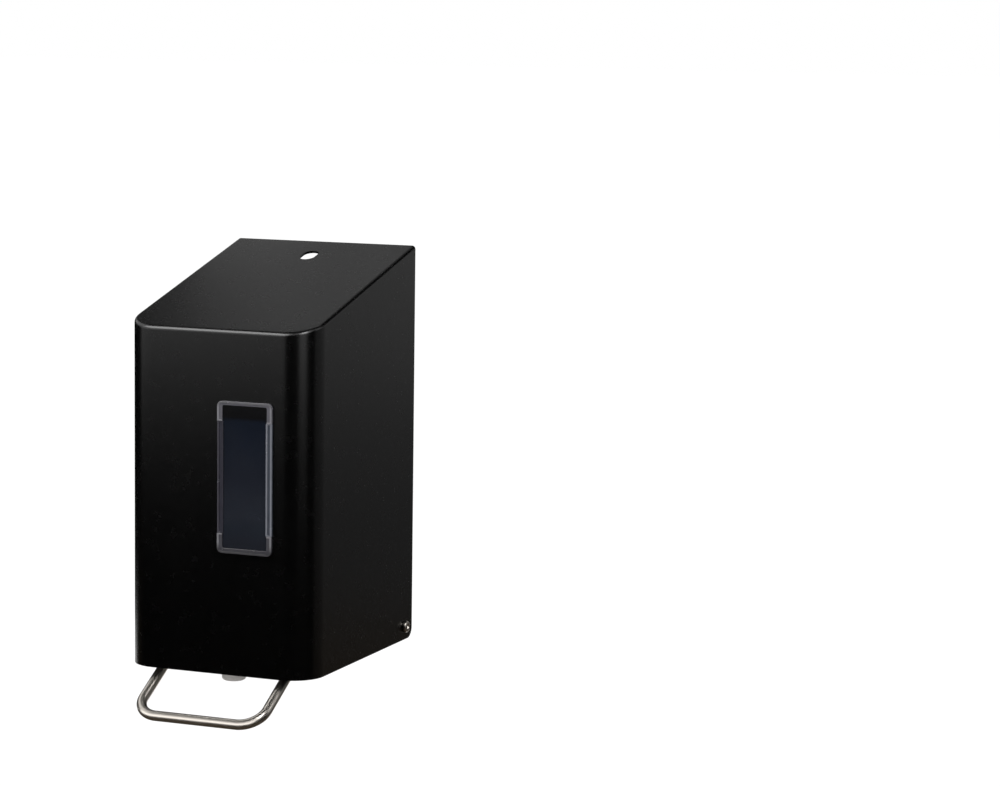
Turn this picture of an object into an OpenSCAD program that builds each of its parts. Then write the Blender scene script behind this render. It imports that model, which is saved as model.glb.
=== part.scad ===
// Wall-mounted soap dispenser with a hinged sheet-metal cover and a push lever.
// Heights are modelled from the cover's lower edge, depths from the wall, and the
// whole part is then lowered so that its origin is the middle of the wall holes.
// +X is right, -Y is the front and +Z is up.

/* [Cover] */
// Outside width of the cover
cover_w = 120; // [112:1:140]
// Depth of the cover, from the wall to its front
cover_d = 148; // [142:1:170]
// Height of the cover at its front
front_h = 200; // [190:1:225]
// Height of the cover at the wall
back_h = 241; // [232:1:270]
// Thickness of the cover's sheet
sheet_t = 1.5; // [1:0.1:2]
// Outside radius of the upright front corners
corner_r = 19; // [12:1:21]
// Radius of the lower rear corner of each side
heel_r = 6.5; // [5:0.5:8]
// Gap between the cover's rear edge and the wall
wall_gap = 0.8; // [0.5:0.1:1.5]

/* [Hinge] */
// Distance of the hinge axis from the wall
hinge_back = 12; // [9:0.1:14]
// Height of the hinge axis above the cover's lower edge
hinge_z = 8.1; // [7:0.1:10]
// Shank diameter of the hinge screws
hinge_screw_d = 4; // [3:0.5:5]
// Head diameter of the hinge screws
hinge_head_d = 7; // [6.5:0.1:9]
// Head height of the hinge screws
hinge_head_h = 2.2; // [1.5:0.1:3]
// Width across the flats of the hinge screws' socket
hinge_socket = 2.5; // [2:0.5:3]
// Wall of the hinge bushes
hinge_bush_wall = 1.2; // [0.8:0.1:2]
// Thickness of the flange on each hinge bush
hinge_flange_t = 1; // [0.6:0.1:1.5]
// Thickness of the back plate's hinge ears
ear_t = 2; // [1.5:0.1:3]
// Radius of the round end of the hinge ears
ear_r = 6.6; // [5.5:0.1:6.8]

/* [Key slot] */
// Width of the key slot in the roof
slot_w = 9.5; // [7:0.5:12]
// Length of the key slot, front to back
slot_l = 14.5; // [13:0.5:16]
// Distance of the slot's middle from the wall
slot_back = 24.5; // [23:0.5:30]

/* [Latch] */
// Distance of the keepers' rear face from the wall
keeper_back = 11.3; // [9:0.1:13]
// Thickness of the keepers
keeper_t = 1.5; // [1:0.1:2]
// Distance of each keeper's middle from the centre line
keeper_x = 22; // [19:0.5:26]
// Width of each keeper
keeper_w = 10; // [8:0.5:12]
// Height of the keepers' upright legs
keeper_leg = 13.5; // [12:0.5:15]
// Length of the flange that holds each keeper to the roof
keeper_flange = 16; // [10:0.5:20]
// Thickness of the latch plate
latch_t = 3; // [2:0.1:3.5]
// Height by which the latch overlaps the keepers
latch_catch = 4.5; // [3:0.1:5]
// Travel of the latch when the key pushes it down
latch_travel = 6; // [5.5:0.1:7]
// Width of the pad under the key slot
latch_pad_w = 13; // [10:0.5:16]
// Thickness of that pad
latch_pad_t = 3; // [2:0.1:4]
// Depth of the latch plate in its housing
latch_engage = 8; // [6:0.5:12]
// Length of the latch spring at rest
latch_spring_l = 14; // [12:0.5:18]
// Wall of the latch housing
housing_wall = 2.5; // [2:0.1:4]

/* [Window] */
// Outside width of the window's rim
window_w = 34.6; // [30:0.1:38]
// Outside height of the window's rim
window_h = 88; // [70:0.1:95]
// Distance of the window's middle to the right of the centre line
window_x = 19.3; // [0:0.1:20]
// Height of the window's middle above the cover's lower edge
window_z = 115.5; // [110:0.1:125]
// Width of the rim around the pane
window_rim = 3.4; // [3:0.1:5]
// Height of the rim in front of the cover
window_proud = 2; // [1:0.1:3]
// Depth of the pane behind the rim's front
pane_sink = 0.9; // [0.4:0.1:1.2]
// Thickness of the pane and of the walls around it
pane_t = 1.6; // [1:0.1:2]
// Corner radius of the window's rim
window_r = 3; // [2:0.1:5]
// Length of the side rails between their notches
rail_l = 65; // [50:1:68]
// Depth of the side rails' step in the rim
rail_step = 0.8; // [0.4:0.1:1.2]
// Length of the snap hooks behind the window
hook_l = 30; // [20:1:50]
// Thickness of the window's retaining frame
retainer_t = 2; // [1.5:0.1:3]
// Width of that frame
retainer_w = 5; // [4:0.5:7]

/* [Lever] */
// Diameter of the lever's rod
rod_d = 6; // [5:0.1:7]
// Distance between the middles of the lever's arms
arm_spacing = 79.4; // [74:0.1:82]
// Slope of the arms
lever_tilt = 29.7; // [27:0.1:32]
// Radius of the rod's bends, at its middle
bend_r = 14; // [10:0.5:18]
// Distance of the bar in front of the cover
bar_reach = 24.4; // [20:0.1:30]
// Distance of the bar below the cover's lower edge
bar_drop = 22.2; // [21:0.1:27]
// Length of the arms, from the bar to their upper ends
arm_len = 72; // [68:0.5:76]
// Depth of the sockets that hold the arms
socket_len = 19; // [15:0.5:22]
// Wall of those sockets
socket_wall = 3; // [2.5:0.1:4]
// Diameter of the set screws that hold the arms
set_screw_d = 4; // [3:0.5:5]
// Distance of the lever's pivot behind the cover's front
pivot_back = 26; // [24:0.5:30]
// Height of the lever's pivot above the cover's lower edge
pivot_z = 54; // [50:0.5:58]
// Diameter of the lever's pivot pins
pivot_pin_d = 6; // [5:0.5:7]
// Wall of the bushes on those pins
pivot_bush_wall = 1.2; // [0.8:0.1:2]
// Wall of the yoke's hubs around the bushes
hub_wall = 2.3; // [2:0.1:4]
// Thickness of the yoke's side plates
yoke_t = 8; // [6:0.5:10]
// Diameter of the yoke's crossbar
crossbar_d = 7; // [6:0.5:9]
// Gap between the crossbar and the inside of the cover's front
crossbar_gap = 3.9; // [2:0.1:5]
// Angle that the lever swings when it is pushed
lever_swing = 20; // [12:0.5:22]
// Thickness of the lever's brackets
bracket_t = 1.5; // [1:0.1:2]
// Height of the lever's brackets
bracket_h = 24; // [18:0.5:30]
// Length of the brackets behind the pivot
bracket_tail = 15; // [10:0.5:20]
// Height of the boss around each pivot pin
boss_h = 3; // [2:0.1:4]
// Thickness of the clips on the pivot pins
clip_t = 0.8; // [0.6:0.1:1.2]

/* [Pump] */
// Height of the piston's middle above the cover's lower edge
piston_z = 30; // [28:0.5:33]
// Bore of the pump
pump_bore = 14; // [11:0.5:16]
// Wall of the pump's barrel
barrel_wall = 5; // [4:0.1:5.5]
// Diameter of the piston's rod
piston_rod_d = 8; // [6:0.5:9]
// Diameter of the piston's head
piston_head_d = 18; // [14:0.5:20]
// Thickness of the piston's head
piston_head_t = 3; // [2:0.1:4]
// Length of the plunger in the bore
plunger_len = 9.5; // [8:0.5:12]
// Depth of the gland in the barrel
gland_depth = 9; // [6:0.5:12]
// Thickness of the gland's flange
gland_flange_t = 2.5; // [2:0.1:4]
// Length of the chamber behind the plunger at rest
chamber_len = 25; // [23:0.5:28]
// Thickness of the chamber's end wall
chamber_end_t = 4; // [3:0.1:6]
// Diameter of the return spring's wire
spring_wire_d = 1.2; // [0.8:0.1:1.4]
// Number of curls in the return spring
spring_curls = 6; // [5:1:8]
// Diameter of the soap passages
passage_d = 5; // [3:0.5:6]
// Thickness of the pump's flange under the shelf
pump_flange_t = 4; // [3:0.1:6]
// Width of that flange
pump_flange_w = 56; // [48:1:60]
// Length of that flange, front to back
pump_flange_l = 56; // [54:1:58]
// Thickness of the floor between the chamber and the cup above it
cup_floor_t = 4; // [3:0.1:6]
// Wall of the cup that takes the bottle's neck
cup_wall = 3.5; // [2.5:0.1:5]
// Thickness of the seal under the bottle's neck
neck_seal_t = 2; // [1:0.1:3]

/* [Nozzle] */
// Outside diameter of the nozzle
nozzle_d = 14.5; // [13:0.5:18]
// Distance of the nozzle's middle behind the cover's front
nozzle_back = 24.6; // [23:0.1:28]
// Distance of the nozzle's tip below the cover's lower edge
nozzle_drop = 8.2; // [5:0.1:14]
// Radius of the nozzle's lower edge
nozzle_edge_r = 2; // [1:0.1:3]
// Height of the nozzle's flange
nozzle_flange_t = 1.4; // [1:0.1:2]
// Wall of the collar that holds the nozzle
collar_wall = 2.4; // [1.8:0.1:3]
// Length of the thread under the collar
collar_thread = 4; // [3:0.1:6]
// Height of the outlet's body above that thread
outlet_h = 9; // [8:0.5:10]

/* [Bottle] */
// Gap between the bottle and the sides of the cover
bottle_side_gap = 10.5; // [9:0.5:20]
// Gap between the bottle and the cover's front
bottle_front_gap = 18.5; // [12:0.5:25]
// Gap between the bottle and the back plate
bottle_rear_gap = 12.5; // [8:0.5:14]
// Gap between the bottle's top and the height of the cover's front
bottle_top_gap = 18; // [16:0.5:30]
// Corner radius of the bottle
bottle_r = 14; // [8:0.5:20]
// Wall of the bottle
bottle_wall = 1.5; // [1:0.1:2.5]
// Outside diameter of the bottle's neck
neck_d = 26; // [22:0.5:28]
// Wall of the bottle's neck
neck_wall = 2.2; // [1.5:0.1:3]
// Outside diameter of the filler ring on the bottle
filler_d = 38; // [30:0.5:44]
// Wall of the filler ring
filler_wall = 3; // [2:0.1:4]
// Height of the filler ring
filler_h = 9; // [7:0.5:12]
// Distance of the filler ring's middle from the back plate
filler_back = 48; // [45:0.5:60]
// Wall of the filler cap
cap_wall = 2; // [1.5:0.1:3]
// Height of the filler cap
cap_h = 13; // [11:0.5:15]

/* [Back plate] */
// Thickness of the back plate
plate_t = 1.5; // [1.2:0.1:2]
// Height of the back plate's lower edge above the cover's
plate_foot = 0.8; // [0.8:0.1:2]
// Distance of the back plate's top below the cover's highest edge
plate_top_gap = 27; // [24:0.5:30]
// Diameter of the wall holes
wall_hole_d = 5.5; // [4.5:0.1:6.5]
// Distance between the wall holes, side to side
wall_hole_dx = 84; // [78:1:88]
// Distance between the wall holes, up and down
wall_hole_dz = 120; // [100:1:124]
// Height of the wall holes' middle above the cover's lower edge
mount_z = 112; // [108:1:116]

/* [Shelf] */
// Thickness of the bottle shelf
shelf_t = 2; // [1.5:0.1:3]
// Width of the shelf
shelf_w = 88; // [80:1:92]
// Height of the gap between the lever's hubs and the shelf
shelf_over_hub = 1.5; // [1:0.1:4]
// Gap between the lever's hubs and the shelf's front edge
shelf_behind_hub = 3.5; // [3:0.1:8]
// Height of the flange at the shelf's rear
shelf_flange_h = 22; // [18:0.5:26]
// Width of that flange
shelf_flange_w = 68; // [56:1:70]
// Height of the shelf's side lips
shelf_lip_h = 10; // [6:0.5:12]
// Distance of the lips' front ends behind the shelf's front edge
shelf_lip_back = 14; // [12:0.5:25]

/* [Screws and clearances] */
// Diameter of the small screws inside
screw_d = 4; // [3:0.5:4.5]
// Head diameter of those screws
screw_head_d = 7.5; // [7:0.1:9]
// Head height of those screws
screw_head_h = 2.6; // [2:0.1:3.5]
// Radial clearance of pins and shafts that turn or slide
run_gap = 0.1; // [0.05:0.01:0.15]
// Radial clearance of pieces that are fixed in each other
seat_gap = 0.05; // [0.02:0.01:0.1]
// Clearance between flat faces that move past each other
slip_gap = 0.3; // [0.2:0.05:0.4]

/* [Hidden] */
$fn = 48;
// Overlap that joins two shapes of one piece, and overshoot of a cut
join = 0.4;
past = 1;

// Cover
front_y = -cover_d;
inner_front_y = front_y + sheet_t;
inner_half = cover_w / 2 - sheet_t;
roof_slope = (back_h - front_h) / cover_d;
roof_drop = sheet_t * sqrt(1 + roof_slope * roof_slope);
function roof_z(y) = back_h + roof_slope * y;
function ceiling_z(y) = roof_z(y) - roof_drop;

// Hinge
hinge_y = -hinge_back;
hinge_bush_d = hinge_screw_d + 2 * run_gap + 2 * hinge_bush_wall;
hinge_flange_lip = 1.5;
hinge_flange_d = hinge_bush_d + 2 * hinge_flange_lip;
ear_outer = inner_half - hinge_flange_t - slip_gap;
ear_inner = ear_outer - ear_t;
hinge_nut_h = 0.8 * hinge_screw_d;
hinge_nut_d = 2 * hinge_screw_d;
hinge_tip = 1;

// Lever
pivot_y = front_y + pivot_back;
bar_y = front_y - bar_reach;
arm_x = arm_spacing / 2;
crossbar_y = inner_front_y + crossbar_gap + crossbar_d / 2;
hub_r = pivot_pin_d / 2 + run_gap + pivot_bush_wall + seat_gap + hub_wall;
bush_r = pivot_pin_d / 2 + run_gap + pivot_bush_wall;
boss_inner = inner_half - bracket_t - boss_h;
hub_inner = arm_x - yoke_t / 2;
hub_outer = boss_inner - slip_gap;
clip_x = hub_inner - 2 * slip_gap - clip_t;
clip_groove = 0.8;
clip_lip = 2.2;
pin_end = 1.5;
pin_inner = clip_x - pin_end;
socket_r = rod_d / 2 + seat_gap + socket_wall;
socket_start = arm_len - socket_len;
socket_mid = arm_len - socket_len / 2;
socket_end_t = 2;
function arm_y(s) = bar_y + s * cos(lever_tilt);
function arm_z(s) = -bar_drop + s * sin(lever_tilt);

// Pump
push_face_y = crossbar_y + crossbar_d / 2 + slip_gap;
push_y = crossbar_y - pivot_y;
push_z = piston_z - pivot_z;
piston_travel = push_y * (cos(lever_swing) - 1) - push_z * sin(lever_swing);
stop_gap = 0.5;
head_back_y = push_face_y + piston_head_t;
gland_front_y = head_back_y + piston_travel + stop_gap;
barrel_front_y = gland_front_y + gland_flange_t;
gland_rear_y = barrel_front_y + gland_depth;
plunger_front_y = gland_rear_y + stop_gap;
plunger_rear_y = plunger_front_y + plunger_len;
chamber_rear_y = plunger_rear_y + chamber_len;
barrel_rear_y = chamber_rear_y + chamber_end_t;
barrel_r = pump_bore / 2 + barrel_wall;
gland_wall = 5;
gland_r = piston_rod_d / 2 + run_gap + gland_wall;
plunger_gap = 0.2;
seal_gap = 0.08;
seal_len = 3;
seal_depth = 2;
seal_inset = 2;
groove_y = plunger_rear_y - seal_inset - seal_len;
neck_inset = 6;
neck_y = chamber_rear_y - neck_inset;
port_inset = 1;
port_y = chamber_rear_y - passage_d / 2 - port_inset;
cup_floor_z = piston_z + pump_bore / 2 + cup_floor_t;
neck_seal_w = 3;
valve_recess_r = neck_d / 2 - neck_seal_w;
valve_recess_h = 3;
cup_seat_z = cup_floor_z + valve_recess_h;
neck_end_z = cup_seat_z + neck_seal_t;
neck_gap = 1;
cup_r = neck_d / 2 + neck_gap;
gallery_z = piston_z - barrel_r - passage_d;
gallery_wall = 3.5;
gallery_w = passage_d + 2 * gallery_wall;
port_r = 0.4 * passage_d;

// Nozzle
nozzle_y = front_y + nozzle_back;
outlet_gap = 1;
outlet_top_z = piston_z - barrel_r - outlet_gap;
outlet_bottom_z = outlet_top_z - outlet_h - collar_thread;
nozzle_flange_lip = 1;
outlet_r = nozzle_d / 2 + nozzle_flange_lip;
collar_top_z = outlet_bottom_z + collar_thread;
flange_bottom_z = outlet_bottom_z - nozzle_flange_t;
collar_lip_t = 1.5;
collar_bottom_z = flange_bottom_z - seat_gap - collar_lip_t;
collar_r = outlet_r + seat_gap + collar_wall;
valve_flange_r = 4.4;
valve_flange_t = 1.6;
valve_well = 6;
valve_lip = 1;
bill_wall = 0.9;
slit_w = 0.5;
bill_rim = 0.2;
inlet_bill_r = passage_d / 2 + bill_rim;

// Shelf and bottle
shelf_z = pivot_z + hub_r + shelf_over_hub;
shelf_top_z = shelf_z + shelf_t;
shelf_front_y = pivot_y + hub_r + shelf_behind_hub;
shelf_flange_y = -plate_t - shelf_t;
bottle_w = 2 * (inner_half - bottle_side_gap);
bottle_front_y = inner_front_y + bottle_front_gap;
bottle_rear_y = -plate_t - bottle_rear_gap;
bottle_d = bottle_rear_y - bottle_front_y;
bottle_mid_y = (bottle_front_y + bottle_rear_y) / 2;
bottle_top_z = front_h - bottle_top_gap;
filler_y = -plate_t - filler_back;
filler_spigot_r = filler_d / 2 - filler_wall / 2;
cap_r = filler_d / 2 + seat_gap + cap_wall;
cap_lift = 1;
cap_bottom_z = bottle_top_z + cap_lift;
pump_screw_inset = [6, 5];
pump_screw_x = pump_flange_w / 2 - pump_screw_inset[0];
pump_screw_y = pump_flange_l / 2 - pump_screw_inset[1];
shelf_screw_inset = [8, 6];
shelf_screw_x = shelf_flange_w / 2 - shelf_screw_inset[0];
shelf_screw_drops = [shelf_screw_inset[1], shelf_flange_h - shelf_screw_inset[1]];

// Latch
keeper_front_y = -keeper_back - keeper_t;
keeper_bottom_z = ceiling_z(keeper_front_y) - keeper_leg;
latch_rear_y = keeper_front_y - slip_gap;
latch_front_y = latch_rear_y - latch_t;
latch_mid_y = (latch_front_y + latch_rear_y) / 2;
latch_side = 1;
latch_w = 2 * keeper_x + keeper_w + 2 * latch_side;
tongue_top_z = keeper_bottom_z + latch_catch;
pad_drop = 2;
pad_top_z = keeper_bottom_z - pad_drop;
pad_bottom_z = pad_top_z - latch_pad_t;
pad_front_y = -slot_back - slot_l / 2;
housing_top_z = pad_bottom_z - latch_travel - stop_gap;
latch_bottom_z = housing_top_z - latch_engage;
spring_floor_z = latch_bottom_z - latch_spring_l;
housing_bottom_z = spring_floor_z - housing_wall;
housing_w = latch_w + 2 * slip_gap + 2 * housing_wall;
housing_front_y = latch_front_y - slip_gap - housing_wall;
latch_wire_d = 0.8;
latch_spring_r = 2.1;
latch_curls = 5;
housing_ear_w = 10;
housing_ear_t = 3;
housing_ear_r = 3;
housing_screw_x = housing_w / 2 + housing_ear_w / 2;
housing_screw_z = (housing_top_z + housing_bottom_z) / 2;

// Window
front_face_y = front_y - window_proud;
tray_w = window_w - 2 * window_rim;
tray_h = window_h - 2 * window_rim;
tray_r = 2;
pane_front_y = front_face_y + pane_sink;
retainer_rear_y = inner_front_y + retainer_t;
hook_t = 1.4;
hook_reach = 1.3;
tray_rear_y = retainer_rear_y + seat_gap + hook_t;

// Back plate
plate_top_z = back_h - plate_top_gap;
plate_r = 4;

// Places the part so that its origin is the middle of the wall holes
module place() {
  translate([0, 0, -mount_z])
    children();
}

// Extrudes a side outline, drawn as depth and height, from x0 to x1
module along_x(x0, x1) {
  translate([x0, 0, 0])
    rotate([90, 0, 90])
      linear_extrude(height = x1 - x0)
        children();
}

// Extrudes a front outline, drawn as width and height, from y0 to y1
module along_y(y0, y1) {
  translate([0, y1, 0])
    rotate([90, 0, 0])
      linear_extrude(height = y1 - y0)
        children();
}

// Extrudes a plan outline, drawn as width and depth, from z0 to z1
module along_z(z0, z1) {
  translate([0, 0, z0])
    linear_extrude(height = z1 - z0)
      children();
}

module rod_x(x0, x1, y, z, r) {
  along_x(x0, x1)
    translate([y, z])
      circle(r);
}

module rod_y(y0, y1, x, z, r) {
  along_y(y0, y1)
    translate([x, z])
      circle(r);
}

module rod_z(z0, z1, x, y, r) {
  along_z(z0, z1)
    translate([x, y])
      circle(r);
}

module both_sides() {
  children();
  mirror([1, 0, 0])
    children();
}

module rounded_rect(w, h, r) {
  square([w, h - 2 * r], center = true);
  square([w - 2 * r, h], center = true);
  for (sx = [-1, 1], sy = [-1, 1])
    translate([sx * (w / 2 - r), sy * (h / 2 - r)])
      circle(r);
}

// Screw along +Y with its head at the front, from the head's seat y0 to its tip y1
module screw_y(x, z, y0, y1) {
  cross_span = 0.55 * screw_head_d;
  cross_depth = screw_head_h / 2;
  difference() {
    union() {
      rod_y(y0 - screw_head_h, y0, x, z, screw_head_d / 2);
      rod_y(y0 - join, y1, x, z, screw_d / 2);
    }
    cross_slot(cross_span, cross_depth, x, y0 - screw_head_h, z);
  }
}

module cross_slot(span, depth, x, y, z) {
  blade = span / 4;
  along_y(y - past, y + depth)
    translate([x, z]) {
      square([span, blade], center = true);
      square([blade, span], center = true);
    }
}

// Coil spring about +Z from z0 to z1, as one unbroken tube of 6 sides with 8 rings a curl
coil_rings = 8;
coil_sides = 6;
function coil_point(r, curls, z0, z1, i) =
  let (a = 360 * i / coil_rings)
  [r * cos(a), r * sin(a), z0 + (z1 - z0) * i / (coil_rings * curls)];
function coil_ring(r, wire, curls, z0, z1, i) =
  let (a = 360 * i / coil_rings, p = coil_point(r, curls, z0, z1, i))
  let (out = [cos(a), sin(a), 0], up = [0, 0, 1])
  [for (k = [0 : coil_sides - 1])
    let (b = 360 * k / coil_sides)
    p + wire / 2 * (cos(b) * out + sin(b) * up)];
function coil_gap(r, wire, curls, z0, z1) =
  let (last = coil_rings * curls)
  min([for (i = [0 : last], j = [i + coil_rings / 2 : 1 : last])
    norm(coil_point(r, curls, z0, z1, i) - coil_point(r, curls, z0, z1, j))]) - wire;

module coil(r, wire, curls, z0, z1) {
  last = coil_rings * curls;
  low = z0 + wire / 2;
  high = z1 - wire / 2;
  points = [for (i = [0 : last], p = coil_ring(r, wire, curls, low, high, i)) p];
  sides = [for (i = [0 : last - 1], k = [0 : coil_sides - 1])
    let (a = i * coil_sides + k, b = i * coil_sides + (k + 1) % coil_sides)
    let (c = a + coil_sides, d = b + coil_sides)
    for (face = [[a, b, d], [a, d, c]]) face];
  start = [for (k = [1 : coil_sides - 2]) [0, k + 1, k]];
  first = last * coil_sides;
  end = [for (k = [1 : coil_sides - 2]) [first, first + k, first + k + 1]];
  echo(least_gap = coil_gap(r, wire, curls, low, high));
  polyhedron(points, concat(start, sides, end));
}

// Plan of the cover, drawn in by inset
module hood_plan(inset) {
  half = cover_w / 2;
  bend_y = front_y + corner_r;
  translate([inset - half, bend_y])
    square([cover_w - 2 * inset, -bend_y + past]);
  translate([corner_r - half, front_y + inset])
    square([cover_w - 2 * corner_r, corner_r]);
  for (s = [-1, 1])
    translate([s * (half - corner_r), bend_y])
      circle(corner_r - inset);
}

// Side outline of the cover with its round lower rear corners
module hood_side() {
  far_y = front_y - past;
  heel_y = -wall_gap - heel_r;
  polygon([[far_y, 0], [heel_y, 0], [heel_y, heel_r], [-wall_gap, heel_r],
           [-wall_gap, roof_z(-wall_gap)], [far_y, roof_z(far_y)]]);
  translate([heel_y, heel_r])
    circle(heel_r);
}

module hood_hollow() {
  far_y = front_y - past;
  polygon([[far_y, -past], [past, -past], [past, ceiling_z(past)], [far_y, ceiling_z(far_y)]]);
}

module slot_plan() {
  end_y = (slot_l - slot_w) / 2;
  translate([0, -slot_back]) {
    square([slot_w, 2 * end_y], center = true);
    for (s = [-1, 1])
      translate([0, s * end_y])
        circle(slot_w / 2);
  }
}

module window_cut() {
  translate([window_x, window_z])
    rounded_rect(tray_w + 2 * seat_gap, tray_h + 2 * seat_gap, tray_r + seat_gap);
}

module cover() {
  tall = back_h + past;
  color([0.06, 0.06, 0.065])
    difference() {
      intersection() {
        along_z(0, tall)
          hood_plan(0);
        along_x(-cover_w, cover_w)
          hood_side();
      }
      intersection() {
        along_z(-past, tall)
          hood_plan(sheet_t);
        along_x(-cover_w, cover_w)
          hood_hollow();
      }
      along_z(front_h, tall)
        slot_plan();
      along_y(front_y - past, inner_front_y + past)
        window_cut();
      rod_x(-cover_w, cover_w, hinge_y, hinge_z, hinge_bush_d / 2 + seat_gap);
    }
}

module window() {
  tray_inner_w = tray_w - 2 * pane_t;
  tray_inner_h = tray_h - 2 * pane_t;
  rail_w = 0.4 * window_rim;
  color([0.75, 0.8, 0.85, 0.5])
    difference() {
      union() {
        along_y(front_face_y, front_y)
          translate([window_x, window_z])
            rounded_rect(window_w, window_h, window_r);
        along_y(front_y - join, tray_rear_y)
          translate([window_x, window_z])
            rounded_rect(tray_w, tray_h, tray_r);
        along_y(tray_rear_y - hook_t, tray_rear_y)
          translate([window_x, window_z])
            square([tray_w + 2 * hook_reach, hook_l], center = true);
      }
      along_y(front_face_y - past, pane_front_y)
        translate([window_x, window_z])
          rounded_rect(tray_w, tray_h, tray_r);
      along_y(pane_front_y + pane_t, tray_rear_y + past)
        translate([window_x, window_z])
          rounded_rect(tray_inner_w, tray_inner_h, tray_r / 2);
      for (s = [-1, 1])
        along_y(front_face_y - past, front_face_y + rail_step)
          translate([window_x + s * (window_w - window_rim) / 2, window_z])
            square([rail_w, rail_l], center = true);
    }
}

module window_retainer() {
  color([0.1, 0.1, 0.1])
    along_y(inner_front_y, retainer_rear_y)
      translate([window_x, window_z])
        difference() {
          rounded_rect(tray_w + 2 * retainer_w, tray_h + 2 * retainer_w, tray_r + retainer_w);
          rounded_rect(tray_w + 2 * seat_gap, tray_h + 2 * seat_gap, tray_r + seat_gap);
        }
}

module ear_outline() {
  translate([hinge_y, hinge_z])
    circle(ear_r);
  translate([hinge_y, hinge_z - ear_r])
    square([-hinge_y, 2 * ear_r]);
}

module back_plate() {
  plate_h = plate_top_z - plate_foot;
  color([0.6, 0.61, 0.62])
    difference() {
      union() {
        along_y(-plate_t, 0)
          translate([0, plate_foot + plate_h / 2])
            rounded_rect(2 * ear_outer, plate_h, plate_r);
        both_sides()
          along_x(ear_inner, ear_outer)
            ear_outline();
      }
      rod_x(-cover_w, cover_w, hinge_y, hinge_z, hinge_screw_d / 2 + seat_gap);
      for (sx = [-1, 1], sz = [-1, 1])
        rod_y(-plate_t - past, past, sx * wall_hole_dx / 2, mount_z + sz * wall_hole_dz / 2,
              wall_hole_d / 2);
      shelf_screw_places()
        rod_y(-plate_t - past, past, 0, 0, screw_d / 2 + seat_gap);
      both_sides()
        rod_y(-plate_t - past, past, housing_screw_x, housing_screw_z, screw_d / 2 + seat_gap);
    }
}

module hinge_screws() {
  seat_x = cover_w / 2 + slip_gap / 2;
  tip_x = ear_inner - hinge_nut_h - hinge_tip;
  socket_x = seat_x + 0.4 * hinge_head_h;
  color([0.8, 0.8, 0.8])
    both_sides()
      difference() {
        union() {
          rod_x(seat_x, seat_x + hinge_head_h, hinge_y, hinge_z, hinge_head_d / 2);
          rod_x(tip_x, seat_x + join, hinge_y, hinge_z, hinge_screw_d / 2);
        }
        along_x(socket_x, seat_x + hinge_head_h + past)
          translate([hinge_y, hinge_z])
            circle(hinge_socket / sqrt(3), $fn = 6);
      }
}

module hinge_nuts() {
  color([0.65, 0.65, 0.66])
    both_sides()
      difference() {
        along_x(ear_inner - hinge_nut_h, ear_inner)
          translate([hinge_y, hinge_z])
            circle(hinge_nut_d / 2, $fn = 6);
        rod_x(0, cover_w, hinge_y, hinge_z, hinge_screw_d / 2 + seat_gap);
      }
}

module hinge_bushes() {
  color([0.9, 0.9, 0.88])
    both_sides()
      difference() {
        union() {
          rod_x(inner_half - join, cover_w / 2, hinge_y, hinge_z, hinge_bush_d / 2);
          rod_x(inner_half - hinge_flange_t, inner_half, hinge_y, hinge_z, hinge_flange_d / 2);
        }
        rod_x(0, cover_w, hinge_y, hinge_z, hinge_screw_d / 2 + run_gap);
      }
}

// Repeats a child at each screw of the shelf's rear flange
module shelf_screw_places() {
  for (x = [-shelf_screw_x, shelf_screw_x], h = shelf_screw_drops)
    translate([x, 0, shelf_z - h])
      children();
}

// Repeats a child at each screw of the pump's flange
module pump_screw_places() {
  for (sx = [-1, 1], sy = [-1, 1])
    translate([sx * pump_screw_x, neck_y + sy * pump_screw_y, 0])
      children();
}

module bottle_shelf() {
  shelf_l = -shelf_front_y - plate_t;
  lip_front_y = shelf_front_y + shelf_lip_back;
  color([0.6, 0.61, 0.62])
    difference() {
      union() {
        along_z(shelf_z, shelf_top_z)
          translate([0, shelf_front_y + shelf_l / 2])
            square([shelf_w, shelf_l], center = true);
        along_y(shelf_flange_y, -plate_t)
          translate([0, shelf_z - shelf_flange_h / 2 + join])
            square([shelf_flange_w, shelf_flange_h + 2 * join], center = true);
        both_sides()
          along_x(shelf_w / 2 - shelf_t, shelf_w / 2)
            polygon([[lip_front_y, shelf_z + join], [-plate_t, shelf_z + join],
                     [-plate_t, shelf_z - shelf_lip_h],
                     [lip_front_y + shelf_lip_h, shelf_z - shelf_lip_h]]);
      }
      rod_z(shelf_z - past, shelf_top_z + past, 0, neck_y, cup_r);
      pump_screw_places()
        rod_z(shelf_z - past, shelf_top_z + past, 0, 0, screw_d / 2 + seat_gap);
      shelf_screw_places()
        rod_y(shelf_flange_y - past, past, 0, 0, screw_d / 2 + seat_gap);
    }
}

module shelf_screws() {
  color([0.7, 0.7, 0.7])
    shelf_screw_places()
      screw_y(0, 0, shelf_flange_y, -stop_gap);
}

module pump_screws() {
  seat_z = shelf_z - pump_flange_t;
  color([0.7, 0.7, 0.7])
    pump_screw_places()
      translate([0, 0, seat_z])
        rotate([90, 0, 0])
          screw_y(0, 0, 0, pump_flange_t + shelf_t - stop_gap);
}

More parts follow.
